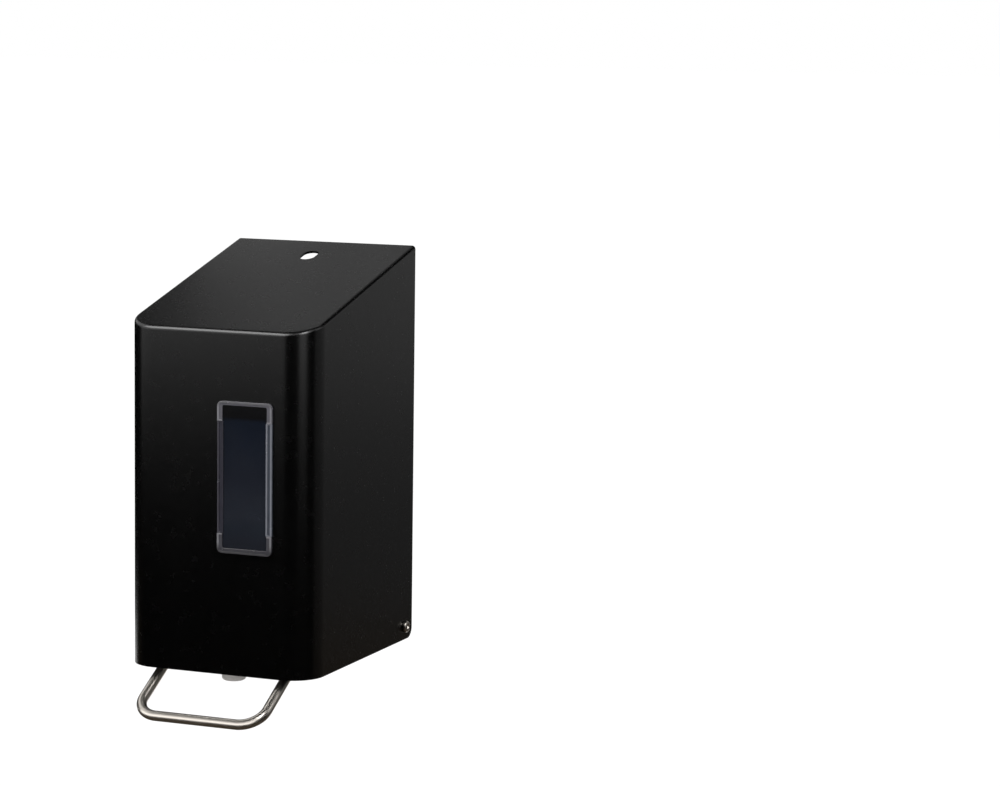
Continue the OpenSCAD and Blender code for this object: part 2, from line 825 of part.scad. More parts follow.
module bottle() {
  inner_w = bottle_w - 2 * bottle_wall;
  inner_d = bottle_d - 2 * bottle_wall;
  color([0.2, 0.24, 0.3, 0.8])
    difference() {
      union() {
        along_z(shelf_top_z, bottle_top_z)
          translate([0, bottle_mid_y])
            rounded_rect(bottle_w, bottle_d, bottle_r);
        rod_z(neck_end_z, shelf_top_z + join, 0, neck_y, neck_d / 2);
      }
      along_z(shelf_top_z + bottle_wall, bottle_top_z - bottle_wall)
        translate([0, bottle_mid_y])
          rounded_rect(inner_w, inner_d, bottle_r - bottle_wall);
      rod_z(neck_end_z - past, shelf_top_z + bottle_wall + join, 0, neck_y, neck_d / 2 - neck_wall);
      rod_z(bottle_top_z - bottle_wall - join, bottle_top_z + past, 0, filler_y,
            filler_spigot_r + seat_gap);
    }
}

module filler_ring() {
  spigot_bottom_z = bottle_top_z - bottle_wall;
  ring_top_z = bottle_top_z + filler_h;
  color([0.24, 0.28, 0.34])
    difference() {
      union() {
        rod_z(bottle_top_z, ring_top_z, 0, filler_y, filler_d / 2);
        rod_z(spigot_bottom_z, bottle_top_z + join, 0, filler_y, filler_spigot_r);
      }
      rod_z(spigot_bottom_z - past, ring_top_z + past, 0, filler_y, filler_d / 2 - filler_wall);
    }
}

module filler_cap() {
  cap_top_z = cap_bottom_z + cap_h;
  roof_bottom_z = bottle_top_z + filler_h;
  ribs = 30;
  rib_r = 0.7;
  rib_top_gap = 1.5;
  color([0.16, 0.17, 0.19])
    difference() {
      union() {
        rod_z(cap_bottom_z, cap_top_z, 0, filler_y, cap_r);
        for (i = [0 : ribs - 1])
          translate([0, filler_y, 0])
            rotate([0, 0, 360 * i / ribs])
              rod_z(cap_bottom_z, cap_top_z - rib_top_gap, cap_r, 0, rib_r);
      }
      rod_z(cap_bottom_z - past, roof_bottom_z, 0, filler_y, filler_d / 2 + seat_gap);
    }
}

module neck_seal() {
  color([0.15, 0.15, 0.15])
    difference() {
      rod_z(cup_seat_z, neck_end_z, 0, neck_y, neck_d / 2);
      rod_z(cup_seat_z - past, neck_end_z + past, 0, neck_y, valve_recess_r);
    }
}

module pump_body() {
  web_t = 4;
  flange_r = 6;
  web_front_y = neck_y - pump_flange_l / 2 + web_t;
  gallery_roof_z = piston_z - barrel_r / 2;
  color([0.88, 0.88, 0.86])
    difference() {
      union() {
        along_z(shelf_z - pump_flange_t, shelf_z)
          translate([0, neck_y])
            rounded_rect(pump_flange_w, pump_flange_l, flange_r);
        rod_y(barrel_front_y, barrel_rear_y, 0, piston_z, barrel_r);
        rod_z(piston_z, shelf_z - join, 0, neck_y, cup_r + cup_wall);
        along_x(-web_t / 2, web_t / 2)
          polygon([[web_front_y, shelf_z - join], [neck_y, shelf_z - join],
                   [neck_y, piston_z], [gland_rear_y, piston_z + barrel_r - join]]);
        along_x(-gallery_w / 2, gallery_w / 2)
          polygon([[nozzle_y, gallery_z - passage_d], [barrel_rear_y, gallery_z - passage_d],
                   [barrel_rear_y, gallery_roof_z], [gland_rear_y, gallery_roof_z],
                   [gland_rear_y, outlet_top_z], [nozzle_y, outlet_top_z]]);
        rod_z(outlet_bottom_z, outlet_top_z, 0, nozzle_y, outlet_r);
      }
      rod_y(barrel_front_y - past, gland_rear_y, 0, piston_z, gland_r + seat_gap);
      rod_y(gland_rear_y - past, chamber_rear_y, 0, piston_z, pump_bore / 2);
      rod_z(cup_seat_z, shelf_z + past, 0, neck_y, cup_r);
      rod_z(cup_floor_z, cup_seat_z + past, 0, neck_y, valve_recess_r);
      rod_z(piston_z, cup_floor_z + past, 0, neck_y, inlet_bill_r + slip_gap);
      rod_z(gallery_z, piston_z, 0, port_y, port_r);
      rod_y(nozzle_y - passage_d / 2, port_y + passage_d / 2, 0, gallery_z, passage_d / 2);
      rod_z(outlet_bottom_z - past, gallery_z, 0, nozzle_y, port_r);
      pump_screw_places()
        rod_z(shelf_z - pump_flange_t - past, shelf_z + past, 0, 0, screw_d / 2 + seat_gap);
    }
}

module pump_gland() {
  color([0.25, 0.26, 0.28])
    difference() {
      union() {
        rod_y(gland_front_y, barrel_front_y, 0, piston_z, barrel_r - stop_gap);
        rod_y(barrel_front_y - join, gland_rear_y - seat_gap, 0, piston_z, gland_r);
      }
      rod_y(gland_front_y - past, gland_rear_y + past, 0, piston_z, piston_rod_d / 2 + run_gap);
    }
}

module inlet_valve() {
  flange_top_z = cup_floor_z + valve_flange_t;
  bill_bottom_z = piston_z + pump_bore / 2 + slip_gap;
  color([0.75, 0.3, 0.25])
    difference() {
      union() {
        rod_z(cup_floor_z, flange_top_z, 0, neck_y, valve_recess_r - valve_lip);
        rod_z(bill_bottom_z, cup_floor_z + join, 0, neck_y, inlet_bill_r);
      }
      rod_z(bill_bottom_z + bill_wall, flange_top_z + past, 0, neck_y, inlet_bill_r - bill_wall);
      along_z(bill_bottom_z - past, bill_bottom_z + bill_wall + join)
        translate([0, neck_y])
          square([2 * (inlet_bill_r - valve_lip), slit_w], center = true);
    }
}

module piston() {
  plunger_r = pump_bore / 2 - plunger_gap;
  color([0.3, 0.31, 0.33])
    difference() {
      union() {
        rod_y(push_face_y, head_back_y, 0, piston_z, piston_head_d / 2);
        rod_y(head_back_y - join, plunger_front_y + join, 0, piston_z, piston_rod_d / 2);
        rod_y(plunger_front_y, plunger_rear_y, 0, piston_z, plunger_r);
      }
      difference() {
        rod_y(groove_y, groove_y + seal_len, 0, piston_z, pump_bore);
        rod_y(groove_y - past, groove_y + seal_len + past, 0, piston_z, pump_bore / 2 - seal_depth);
      }
    }
}

module piston_seal() {
  seal_front_y = groove_y + seat_gap;
  seal_rear_y = groove_y + seal_len - seat_gap;
  color([0.12, 0.12, 0.12])
    difference() {
      rod_y(seal_front_y, seal_rear_y, 0, piston_z, pump_bore / 2 - seal_gap);
      rod_y(seal_front_y - past, seal_rear_y + past, 0, piston_z, pump_bore / 2 - seal_depth + seat_gap);
    }
}

module return_spring() {
  side_gap = 1;
  spring_r = pump_bore / 2 - side_gap - spring_wire_d;
  color([0.75, 0.75, 0.75])
    translate([0, 0, piston_z])
      rotate([90, 0, 0])
        coil(spring_r, spring_wire_d, spring_curls, -chamber_rear_y + seat_gap,
             -plunger_rear_y - seat_gap);
}

module nozzle() {
  tip_z = -nozzle_drop;
  wall_r = nozzle_d / 2;
  well_r = valve_flange_r + seat_gap;
  color([0.85, 0.87, 0.86, 0.7])
    translate([0, nozzle_y, 0])
      rotate_extrude() {
        difference() {
          union() {
            translate([0, tip_z + nozzle_edge_r])
              square([wall_r, flange_bottom_z + join - tip_z - nozzle_edge_r]);
            translate([0, tip_z])
              square([wall_r - nozzle_edge_r, nozzle_edge_r + join]);
            translate([wall_r - nozzle_edge_r, tip_z + nozzle_edge_r])
              circle(nozzle_edge_r);
            translate([0, flange_bottom_z])
              square([outlet_r - seat_gap, nozzle_flange_t]);
          }
          translate([-past, tip_z - past])
            square([passage_d / 2 + past, outlet_bottom_z - tip_z + 2 * past]);
          translate([-past, outlet_bottom_z - valve_well])
            square([well_r + past, valve_well + past]);
        }
      }
}

module nozzle_collar() {
  grips = 18;
  grip_r = 0.6;
  grip_inset = 1;
  color([0.8, 0.8, 0.78])
    difference() {
      union() {
        rod_z(collar_bottom_z, collar_top_z, 0, nozzle_y, collar_r);
        for (i = [0 : grips - 1])
          translate([0, nozzle_y, 0])
            rotate([0, 0, 360 * i / grips])
              rod_z(collar_bottom_z + grip_inset, collar_top_z - grip_inset, collar_r, 0, grip_r);
      }
      rod_z(flange_bottom_z - seat_gap, collar_top_z + past, 0, nozzle_y, outlet_r + seat_gap);
      rod_z(collar_bottom_z - past, collar_top_z, 0, nozzle_y, nozzle_d / 2 + seat_gap);
    }
}

module outlet_valve() {
  bill_r = valve_flange_r - valve_lip;
  bill_bottom_z = outlet_bottom_z - valve_well + valve_lip;
  flange_top_z = outlet_bottom_z - seat_gap;
  color([0.75, 0.3, 0.25])
    difference() {
      union() {
        rod_z(flange_top_z - valve_flange_t, flange_top_z, 0, nozzle_y, valve_flange_r);
        rod_z(bill_bottom_z, flange_top_z - join, 0, nozzle_y, bill_r);
      }
      rod_z(bill_bottom_z + bill_wall, flange_top_z + past, 0, nozzle_y, bill_r - bill_wall);
      along_z(bill_bottom_z - past, bill_bottom_z + bill_wall + join)
        translate([0, nozzle_y])
          square([2 * (bill_r - valve_lip), slit_w], center = true);
    }
}

module latch_housing() {
  color([0.85, 0.85, 0.83])
    difference() {
      union() {
        along_z(housing_bottom_z, housing_top_z)
          translate([-housing_w / 2, housing_front_y])
            square([housing_w, -plate_t - housing_front_y]);
        along_y(-plate_t - housing_ear_t, -plate_t)
          translate([0, housing_screw_z])
            rounded_rect(housing_w + 2 * housing_ear_w, housing_ear_w, housing_ear_r);
      }
      along_z(latch_bottom_z - latch_travel - stop_gap, housing_top_z + past)
        translate([0, latch_mid_y])
          square([latch_w + 2 * slip_gap, latch_t + 2 * slip_gap], center = true);
      rod_z(spring_floor_z, housing_top_z + past, 0, latch_mid_y, latch_spring_r + latch_wire_d);
      both_sides()
        rod_y(-housing_ear_t - plate_t - past, past, housing_screw_x, housing_screw_z,
              screw_d / 2 + seat_gap);
    }
}

module latch_screws() {
  color([0.7, 0.7, 0.7])
    both_sides()
      screw_y(housing_screw_x, housing_screw_z, -plate_t - housing_ear_t, -stop_gap);
}

module latch_spring() {
  color([0.75, 0.75, 0.75])
    translate([0, latch_mid_y, 0])
      coil(latch_spring_r, latch_wire_d, latch_curls, spring_floor_z + seat_gap, latch_bottom_z - seat_gap);
}

module latch() {
  color([0.9, 0.9, 0.88]) {
    along_y(latch_front_y, latch_rear_y) {
      translate([-latch_w / 2, latch_bottom_z])
        square([latch_w, pad_top_z - latch_bottom_z]);
      for (s = [-1, 1])
        translate([s * keeper_x - keeper_w / 2, pad_top_z - join])
          square([keeper_w, tongue_top_z - pad_top_z + join]);
    }
    along_z(pad_bottom_z, pad_top_z)
      translate([-latch_pad_w / 2, pad_front_y])
        square([latch_pad_w, latch_rear_y - pad_front_y - join]);
  }
}

module latch_keepers() {
  rear_y = -keeper_back;
  tail_y = rear_y - keeper_flange;
  color([0.55, 0.55, 0.56])
    both_sides()
      along_x(keeper_x - keeper_w / 2, keeper_x + keeper_w / 2)
        polygon([[rear_y, keeper_bottom_z], [rear_y, ceiling_z(rear_y)], [tail_y, ceiling_z(tail_y)],
                 [tail_y, ceiling_z(tail_y) - keeper_t],
                 [keeper_front_y, ceiling_z(keeper_front_y) - keeper_t],
                 [keeper_front_y, keeper_bottom_z]]);
}

module lever_brackets() {
  flat_y = front_y + corner_r;
  color([0.55, 0.55, 0.56])
    both_sides()
      difference() {
        union() {
          along_x(inner_half - bracket_t, inner_half)
            translate([flat_y, pivot_z - bracket_h / 2])
              square([pivot_y + bracket_tail - flat_y, bracket_h]);
          rod_x(boss_inner, inner_half - bracket_t + join, pivot_y, pivot_z, hub_r);
        }
        rod_x(0, cover_w, pivot_y, pivot_z, pivot_pin_d / 2 + seat_gap);
      }
}

module lever_pins() {
  color([0.78, 0.78, 0.78])
    both_sides()
      difference() {
        rod_x(pin_inner, inner_half - seat_gap, pivot_y, pivot_z, pivot_pin_d / 2);
        difference() {
          rod_x(clip_x - seat_gap, clip_x + clip_t + seat_gap, pivot_y, pivot_z, pivot_pin_d);
          rod_x(clip_x - past, clip_x + clip_t + past, pivot_y, pivot_z, pivot_pin_d / 2 - clip_groove);
        }
      }
}

module pin_clips() {
  inner_r = pivot_pin_d / 2 - clip_groove + seat_gap;
  color([0.3, 0.3, 0.3])
    both_sides()
      along_x(clip_x, clip_x + clip_t)
        translate([pivot_y, pivot_z])
          difference() {
            circle(pivot_pin_d / 2 + clip_lip);
            circle(inner_r);
            translate([0, -pivot_pin_d])
              square([2 * inner_r, 2 * pivot_pin_d], center = true);
          }
}

// Places a child drawn in the lever's plane, with the arms along +Y from the bar
module lever_plane() {
  translate([0, bar_y, -bar_drop])
    rotate([lever_tilt, 0, 0])
      children();
}

module lever_rod() {
  rod_r = rod_d / 2;
  bend_x = arm_x - bend_r;
  color([0.78, 0.76, 0.73])
    lever_plane() {
      rod_x(-bend_x, bend_x, 0, 0, rod_r);
      both_sides() {
        rod_y(bend_r, arm_len, arm_x, 0, rod_r);
        translate([bend_x, bend_r, 0])
          rotate([0, 0, -90])
            rotate_extrude(angle = 90)
              translate([bend_r, 0])
                circle(rod_r);
      }
    }
}

module lever_yoke() {
  web_half = 0.8 * hub_r;
  web_slope = (arm_y(socket_mid) - pivot_y) / (pivot_z - arm_z(socket_mid));
  web_mid_y = pivot_y + web_slope * (pivot_z - piston_z);
  color([0.4, 0.41, 0.43])
    difference() {
      union() {
        both_sides() {
          rod_x(hub_inner, hub_outer, pivot_y, pivot_z, hub_r);
          along_x(arm_x - yoke_t / 2, arm_x + yoke_t / 2) {
            polygon([[pivot_y - web_half, pivot_z], [pivot_y + web_half, pivot_z],
                     [arm_y(socket_mid) + web_half, arm_z(socket_mid)],
                     [arm_y(socket_mid) - web_half, arm_z(socket_mid)]]);
            translate([crossbar_y, piston_z - crossbar_d / 2])
              square([web_mid_y - crossbar_y, crossbar_d]);
          }
          lever_plane()
            rod_y(socket_start, arm_len + socket_end_t, arm_x, 0, socket_r);
        }
        rod_x(-arm_x - yoke_t / 2, arm_x + yoke_t / 2, crossbar_y, piston_z, crossbar_d / 2);
      }
      both_sides() {
        rod_x(0, cover_w, pivot_y, pivot_z, bush_r + seat_gap);
        lever_plane() {
          rod_y(socket_start - past, arm_len + seat_gap, arm_x, 0, rod_d / 2 + seat_gap);
          rod_x(0, arm_x, socket_mid, 0, set_screw_d / 2 + seat_gap);
        }
      }
    }
}

module yoke_bushes() {
  color([0.9, 0.9, 0.88])
    both_sides()
      difference() {
        rod_x(hub_inner, hub_outer, pivot_y, pivot_z, bush_r);
        rod_x(0, cover_w, pivot_y, pivot_z, pivot_pin_d / 2 + run_gap);
      }
}

module rod_set_screws() {
  tip_x = arm_x - rod_d / 2 - seat_gap;
  tail_x = arm_x - socket_r;
  key_depth = 1.5;
  color([0.3, 0.3, 0.3])
    both_sides()
      lever_plane()
        difference() {
          rod_x(tail_x, tip_x, socket_mid, 0, set_screw_d / 2);
          along_x(tail_x - past, tail_x + key_depth)
            translate([socket_mid, 0])
              circle(set_screw_d / 4, $fn = 6);
        }
}

place() back_plate();
place() hinge_screws();
place() hinge_nuts();
place() bottle_shelf();
place() shelf_screws();
place() bottle();
place() filler_ring();
place() filler_cap();
place() neck_seal();
place() pump_body();
place() pump_gland();
place() pump_screws();
place() inlet_valve();
place() return_spring();
place() nozzle();
place() nozzle_collar();
place() outlet_valve();
place() latch_housing();
place() latch_screws();
place() latch_spring();
place() piston();
place() piston_seal();
place() latch();
place() cover();
place() window();
place() window_retainer();
place() hinge_bushes();
place() latch_keepers();
place() lever_brackets();
place() lever_pins();
place() pin_clips();
place() lever_rod();
place() lever_yoke();
place() yoke_bushes();
place() rod_set_screws();
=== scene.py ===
import math

import bmesh
import bpy
from mathutils import Matrix, Vector


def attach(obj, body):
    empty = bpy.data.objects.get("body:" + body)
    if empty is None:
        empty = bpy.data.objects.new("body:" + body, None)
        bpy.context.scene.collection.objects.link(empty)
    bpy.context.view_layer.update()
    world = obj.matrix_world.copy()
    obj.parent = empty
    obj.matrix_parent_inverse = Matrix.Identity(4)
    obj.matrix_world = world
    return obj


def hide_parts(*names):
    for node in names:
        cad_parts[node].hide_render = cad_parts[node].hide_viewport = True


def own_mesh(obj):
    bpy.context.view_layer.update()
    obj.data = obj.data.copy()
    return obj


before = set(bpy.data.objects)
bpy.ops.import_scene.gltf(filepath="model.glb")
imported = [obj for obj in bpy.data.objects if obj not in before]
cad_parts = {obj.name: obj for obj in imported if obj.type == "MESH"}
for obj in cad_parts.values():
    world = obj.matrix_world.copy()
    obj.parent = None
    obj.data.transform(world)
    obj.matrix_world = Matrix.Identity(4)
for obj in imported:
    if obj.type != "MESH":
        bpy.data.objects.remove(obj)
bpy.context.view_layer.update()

MM, MICRON = 0.001, 0.000001

# Sizes in mm, the main ones repeated from the part's source. Heights are from the cover's lower
# edge and depths from the wall, with the front at -Y.
MOUNT_Z = 112.0
COVER_W, COVER_D, FRONT_H, BACK_H = 120.0, 148.0, 200.0, 241.0
SHEET, CORNER_R, HEEL_R, WALL_GAP = 1.5, 19.0, 6.5, 0.8
ROOF_EDGE_R = 2.2
SLOT_W, SLOT_L, SLOT_BACK = 9.5, 14.5, 24.5
WINDOW_X, WINDOW_Z, WINDOW_W, WINDOW_H = 19.3, 115.5, 34.6, 88.0
WINDOW_FRONT, PANE_FRONT, PANE_T, WINDOW_R = -150.0, -149.1, 1.6, 3.0
TRAY_W, TRAY_H, TRAY_REAR = 27.8, 81.2, -143.05
HOOK_L, HOOK_T, HOOK_REACH = 30.0, 1.4, 1.3
ROD_D, ARM_X, BEND_R, ARM_LEN = 6.0, 39.7, 14.0, 72.0
BAR_Y, BAR_Z, LEVER_TILT = -172.4, -22.2, math.radians(29.7)
HINGE_Y, HINGE_Z, HINGE_D = -12.0, 8.1, 4.0
HINGE_HEAD_D, HINGE_HEAD_H, HINGE_SOCKET = 7.0, 2.2, 2.5
HINGE_SEAT_X, HINGE_TIP_X = 60.15, 51.0
PISTON_Z, SPRING_R, SPRING_WIRE, SPRING_CURLS = 30.0, 4.8, 1.2, 6
SPRING_FRONT, SPRING_REAR, PISTON_TRAVEL = -101.01, -76.11, 9.24
LATCH_SPRING_Y, LATCH_SPRING_R, LATCH_WIRE, LATCH_CURLS = -14.6, 2.1, 0.8, 5
LATCH_SPRING_LOW, LATCH_SPRING_HIGH, LATCH_TRAVEL = 188.95, 202.85, 6.0

# The window's rim in mm: bands seen from the front, steps back from the front face, small radii.
RAIL_L, RAIL_BAND, LEG_BAND, CAP_TOP, CAP_FOOT = 65.0, 3.8, 3.2, 2.3, 3.0
RIDGE_W, RAIL_END, RAIL_GAP, EDGE_W, EDGE_END = 1.1, 0.6, 0.12, 1.2, 0.8
RAIL_STEP, RIDGE_STEP, CAP_STEP, LAP = 1.0, 0.3, 0.3, 0.1
CAP_INNER_R, CAP_SKIN = 1.0, 0.05
PANE_R, TRAY_R, TRAY_INNER_R = 1.0, 2.0, 1.0

# How far sharp edges are rounded, in mm.
SHEET_EDGE, CAP_ROUND, EDGE_ROUND, RAIL_ROUND, RIDGE_ROUND, PANE_ROUND = 0.35, 0.2, 0.15, 0.2, 0.25, 0.25

# Steps along curves, sides of round forms, and degrees a step.
CORNER_STEPS, SLOT_STEPS, CAP_STEPS, CAP_INNER_STEPS, ROUND_STEPS = 18, 16, 6, 4, 5
HEEL_DEGREES, ROOF_EDGE_DEGREES = 10, 15
BAR_STEPS, BEND_STEPS, ARM_STEPS, ROD_SIDES = 6, 20, 12, 40
SCREW_SIDES, CURL_STEPS, WIRE_SIDES, WALL_STEPS = 48, 36, 12, 24


def at(x, y, z):
    """A point in mm from the cover's lower edge and the wall, in the shared frame in metres."""
    return Vector((x, y, z - MOUNT_Z)) * MM


def roof_z(y):
    """Height of the roof at a depth."""
    return BACK_H + (BACK_H - FRONT_H) / COVER_D * y


# Materials

NOISE_LOW, NOISE_HIGH = 0.3, 0.7  # nearly all of the noise lies between these
WHITE_RGB = (1.0, 1.0, 1.0)


def grey(level):
    return (level, level, level)


class Shader:
    """One procedural material, with short calls for the nodes that it is made of."""

    def __init__(self, name):
        self.material = bpy.data.materials.new(name)
        self.material.use_nodes = True
        self.tree = self.material.node_tree
        self.bsdf = self.tree.nodes["Principled BSDF"]
        self.texture = self.add("ShaderNodeTexCoord")
        self.coords = self.texture.outputs["Object"]

    def add(self, kind):
        return self.tree.nodes.new(kind)

    def link(self, source, target):
        self.tree.links.new(source, target)

    def set(self, **values):
        for name, value in values.items():
            self.bsdf.inputs[name.replace("_", " ")].default_value = value

    def feed(self, name, source):
        self.link(source, self.bsdf.inputs[name])

    def show(self, shader):
        """Sends another shader than the Principled one to the material's output."""
        self.link(shader, self.tree.nodes["Material Output"].inputs["Surface"])

    def noise(self, scale, detail, coords=None, stretch=None):
        """Noise of that many features a metre, stretched along an axis where asked."""
        node = self.add("ShaderNodeTexNoise")
        node.inputs["Scale"].default_value = scale
        node.inputs["Detail"].default_value = detail
        source = self.coords if coords is None else coords
        if stretch is not None:
            mapping = self.add("ShaderNodeMapping")
            mapping.inputs["Scale"].default_value = stretch
            self.link(source, mapping.inputs["Vector"])
            source = mapping.outputs["Vector"]
        self.link(source, node.inputs["Vector"])
        return node.outputs["Fac"]

    def spread(self, fac, low, high):
        """Noise, which stays near its middle, spread out to a range of values."""
        node = self.add("ShaderNodeMapRange")
        node.inputs["From Min"].default_value = NOISE_LOW
        node.inputs["From Max"].default_value = NOISE_HIGH
        node.inputs["To Min"].default_value = low
        node.inputs["To Max"].default_value = high
        self.link(fac, node.inputs["Value"])
        return node.outputs["Result"]

    def ramp(self, fac, *stops):
        """Colours at places from 0 to 1."""
        node = self.add("ShaderNodeValToRGB")
        elements = node.color_ramp.elements
        while len(elements) < len(stops):
            elements.new(1.0)
        for element, (place, colour) in zip(elements, stops):
            element.position = place
            element.color = (*colour, 1.0)
        self.link(fac, node.inputs["Fac"])
        return node.outputs["Color"]

    def blend(self, fac, first, second):
        """Two colours blended by noise."""
        return self.ramp(fac, (NOISE_LOW, first), (NOISE_HIGH, second))

    def along(self, axis, low, high):
        """The share of the way along an axis between two places in metres."""
        split = self.add("ShaderNodeSeparateXYZ")
        self.link(self.coords, split.inputs["Vector"])
        node = self.add("ShaderNodeMapRange")
        node.inputs["From Min"].default_value = low
        node.inputs["From Max"].default_value = high
        self.link(split.outputs[axis], node.inputs["Value"])
        return node.outputs["Result"]

    def times(self, first, second):
        """Product of two colours."""
        node = self.add("ShaderNodeMix")
        node.data_type = "RGBA"
        node.blend_type = "MULTIPLY"
        node.inputs["Factor"].default_value = 1.0
        self.link(first, node.inputs["A"])
        self.link(second, node.inputs["B"])
        return node.outputs["Result"]

    def bump(self, *layers):
        """Relief from layers of (noise, depth in metres)."""
        normal = None
        for fac, depth in layers:
            node = self.add("ShaderNodeBump")
            node.inputs["Strength"].default_value = 1.0
            node.inputs["Distance"].default_value = depth
            self.link(fac, node.inputs["Height"])
            if normal is not None:
                self.link(normal, node.inputs["Normal"])
            normal = node.outputs["Normal"]
        self.feed("Normal", normal)


def powder_coat():
    """Satin black paint with a faint orange peel and a fine grain."""
    s = Shader("black_powder_coat")
    mottle, sheen, peel, grain = s.noise(60, 4), s.noise(160, 5), s.noise(900, 2), s.noise(4200, 1)
    s.feed("Base Color", s.blend(mottle, (0.0005, 0.0005, 0.00055), grey(0.0010)))
    s.feed("Roughness", s.spread(sheen, 0.24, 0.28))
    s.bump((peel, 6 * MICRON), (grain, 2 * MICRON))
    return s.material


def plated_steel():
    """Zinc plate, in patches from bluish to yellowish."""
    s = Shader("zinc_plate")
    s.set(Metallic=1.0)
    patches, sheen, grain = s.noise(70, 4), s.noise(350, 5), s.noise(2500, 2)
    s.feed("Base Color", s.blend(patches, (0.50, 0.52, 0.55), (0.61, 0.60, 0.57)))
    s.feed("Roughness", s.spread(sheen, 0.26, 0.42))
    s.bump((grain, 6 * MICRON))
    return s.material


def stainless(drawn):
    """Satin steel, drawn along the length that the UV map holds or even in all directions."""
    s = Shader("stainless_rod" if drawn else "stainless_small")
    s.set(Metallic=1.0)
    coords = s.texture.outputs["UV"] if drawn else None
    stretch = (0.03, 1.0, 1.0) if drawn else None
    streaks = s.noise(2600, 3, coords, stretch)
    s.feed("Base Color", s.blend(streaks, (0.57, 0.53, 0.48), (0.62, 0.58, 0.53)))
    s.feed("Roughness", s.spread(streaks, 0.28, 0.32))
    s.bump((streaks, 0.5 * MICRON))
    return s.material


def moulded(name, dark, light, rough):
    """Moulded plastic with a fine spark-eroded skin over a slight waviness."""
    s = Shader(name)
    mottle, sheen, skin, waves = s.noise(90, 3), s.noise(400, 4), s.noise(2600, 2), s.noise(120, 2)
    s.feed("Base Color", s.blend(mottle, dark, light))
    s.feed("Roughness", s.spread(sheen, rough - 0.05, rough + 0.06))
    s.bump((skin, 10 * MICRON), (waves, 40 * MICRON))
    return s.material


def smoke_bottle():
    """Smoky blown plastic with the slow waves of a bottle's wall."""
    s = Shader("smoke_bottle")
    s.set(Transmission_Weight=0.35, IOR=1.5)
    mottle, sheen, waves, grain = s.noise(25, 3), s.noise(150, 3), s.noise(45, 2), s.noise(900, 2)
    s.feed("Base Color", s.blend(mottle, (0.030, 0.038, 0.055), (0.045, 0.055, 0.078)))
    s.feed("Roughness", s.spread(sheen, 0.16, 0.28))
    s.bump((waves, 350 * MICRON), (grain, 8 * MICRON))
    return s.material


def milky_plastic():
    """Pale plastic that lets a little light through."""
    s = Shader("milky_plastic")
    s.set(Transmission_Weight=0.1, IOR=1.45)
    mottle, sheen, grain = s.noise(120, 3), s.noise(300, 3), s.noise(1800, 2)
    s.feed("Base Color", s.blend(mottle, (0.84, 0.81, 0.78), (0.92, 0.89, 0.86)))
    s.feed("Roughness", s.spread(sheen, 0.34, 0.46))
    s.bump((grain, 6 * MICRON))
    return s.material


def clear_plastic_painted_light(name, axis, middle, length, *stops):
    """Clear plastic with light and shade painted along an axis: painted tints from its low end to its high
    end, in mm.
    """
    s = Shader(name)
    s.set(Transmission_Weight=0.3, IOR=1.49)
    share = s.along(axis, (middle - length / 2) * MM, (middle + length / 2) * MM)
    mottle, sheen, waves = s.noise(240, 3), s.noise(260, 4), s.noise(700, 2)
    s.feed("Base Color", s.times(s.ramp(share, *stops), s.blend(mottle, grey(0.86), WHITE_RGB)))
    s.feed("Roughness", s.spread(sheen, 0.16, 0.28))
    s.bump((waves, 10 * MICRON))
    return s.material


def smoke_pane():
    """Smoky pane, darker where the tray's top shades it."""
    s = Shader("smoke_pane")
    s.set(Transmission_Weight=0.25, IOR=1.49, Specular_IOR_Level=0.3)
    middle = WINDOW_Z - MOUNT_Z
    share = s.along("Z", (middle - TRAY_H / 2) * MM, (middle + TRAY_H / 2) * MM)
    stops = (
        (0.03, (0.022, 0.025, 0.035)),
        (0.14, (0.0245, 0.030, 0.042)),
        (0.22, (0.0285, 0.033, 0.0455)),
        (0.5, (0.018, 0.0215, 0.033)),
        (0.9, (0.006, 0.0104, 0.0215)),
        (0.93, (0.002, 0.002, 0.003)),
    )
    cloud, sheen, waves = s.noise(38, 4), s.noise(90, 4), s.noise(60, 2)
    s.feed("Base Color", s.times(s.ramp(share, *stops), s.blend(cloud, grey(0.8), WHITE_RGB)))
    s.feed("Roughness", s.spread(sheen, 0.12, 0.24))
    s.bump((waves, 40 * MICRON))
    return s.material


def rubber(name, dark, light):
    """Matt rubber with a dusty grain."""
    s = Shader(name)
    mottle, sheen, grain = s.noise(200, 3), s.noise(500, 3), s.noise(3000, 2)
    s.feed("Base Color", s.blend(mottle, dark, light))
    s.feed("Roughness", s.spread(sheen, 0.55, 0.75))
    s.bump((grain, 8 * MICRON))
    return s.material


PAINT = powder_coat()
PLATED = plated_steel()
ROD_STEEL = stainless(True)
SMALL_STEEL = stainless(False)
WHITE = moulded("white_plastic", (0.70, 0.70, 0.67), (0.80, 0.80, 0.78), 0.42)
DARK = moulded("dark_plastic", (0.024, 0.024, 0.026), (0.038, 0.038, 0.041), 0.48)
BOTTLE = smoke_bottle()
MILKY = milky_plastic()
# Painted light: the rim is painted darker at its lower end and lighter towards its upper end, where light
# from above falls on it.
RIM = clear_plastic_painted_light(
    "clear_rim", "Z", WINDOW_Z - MOUNT_Z, WINDOW_H,
    (0.0, (0.044, 0.043, 0.048)),
    (0.05, (0.112, 0.110, 0.127)),
    (0.3, (0.123, 0.121, 0.140)),
    (0.7, (0.183, 0.180, 0.208)),
)
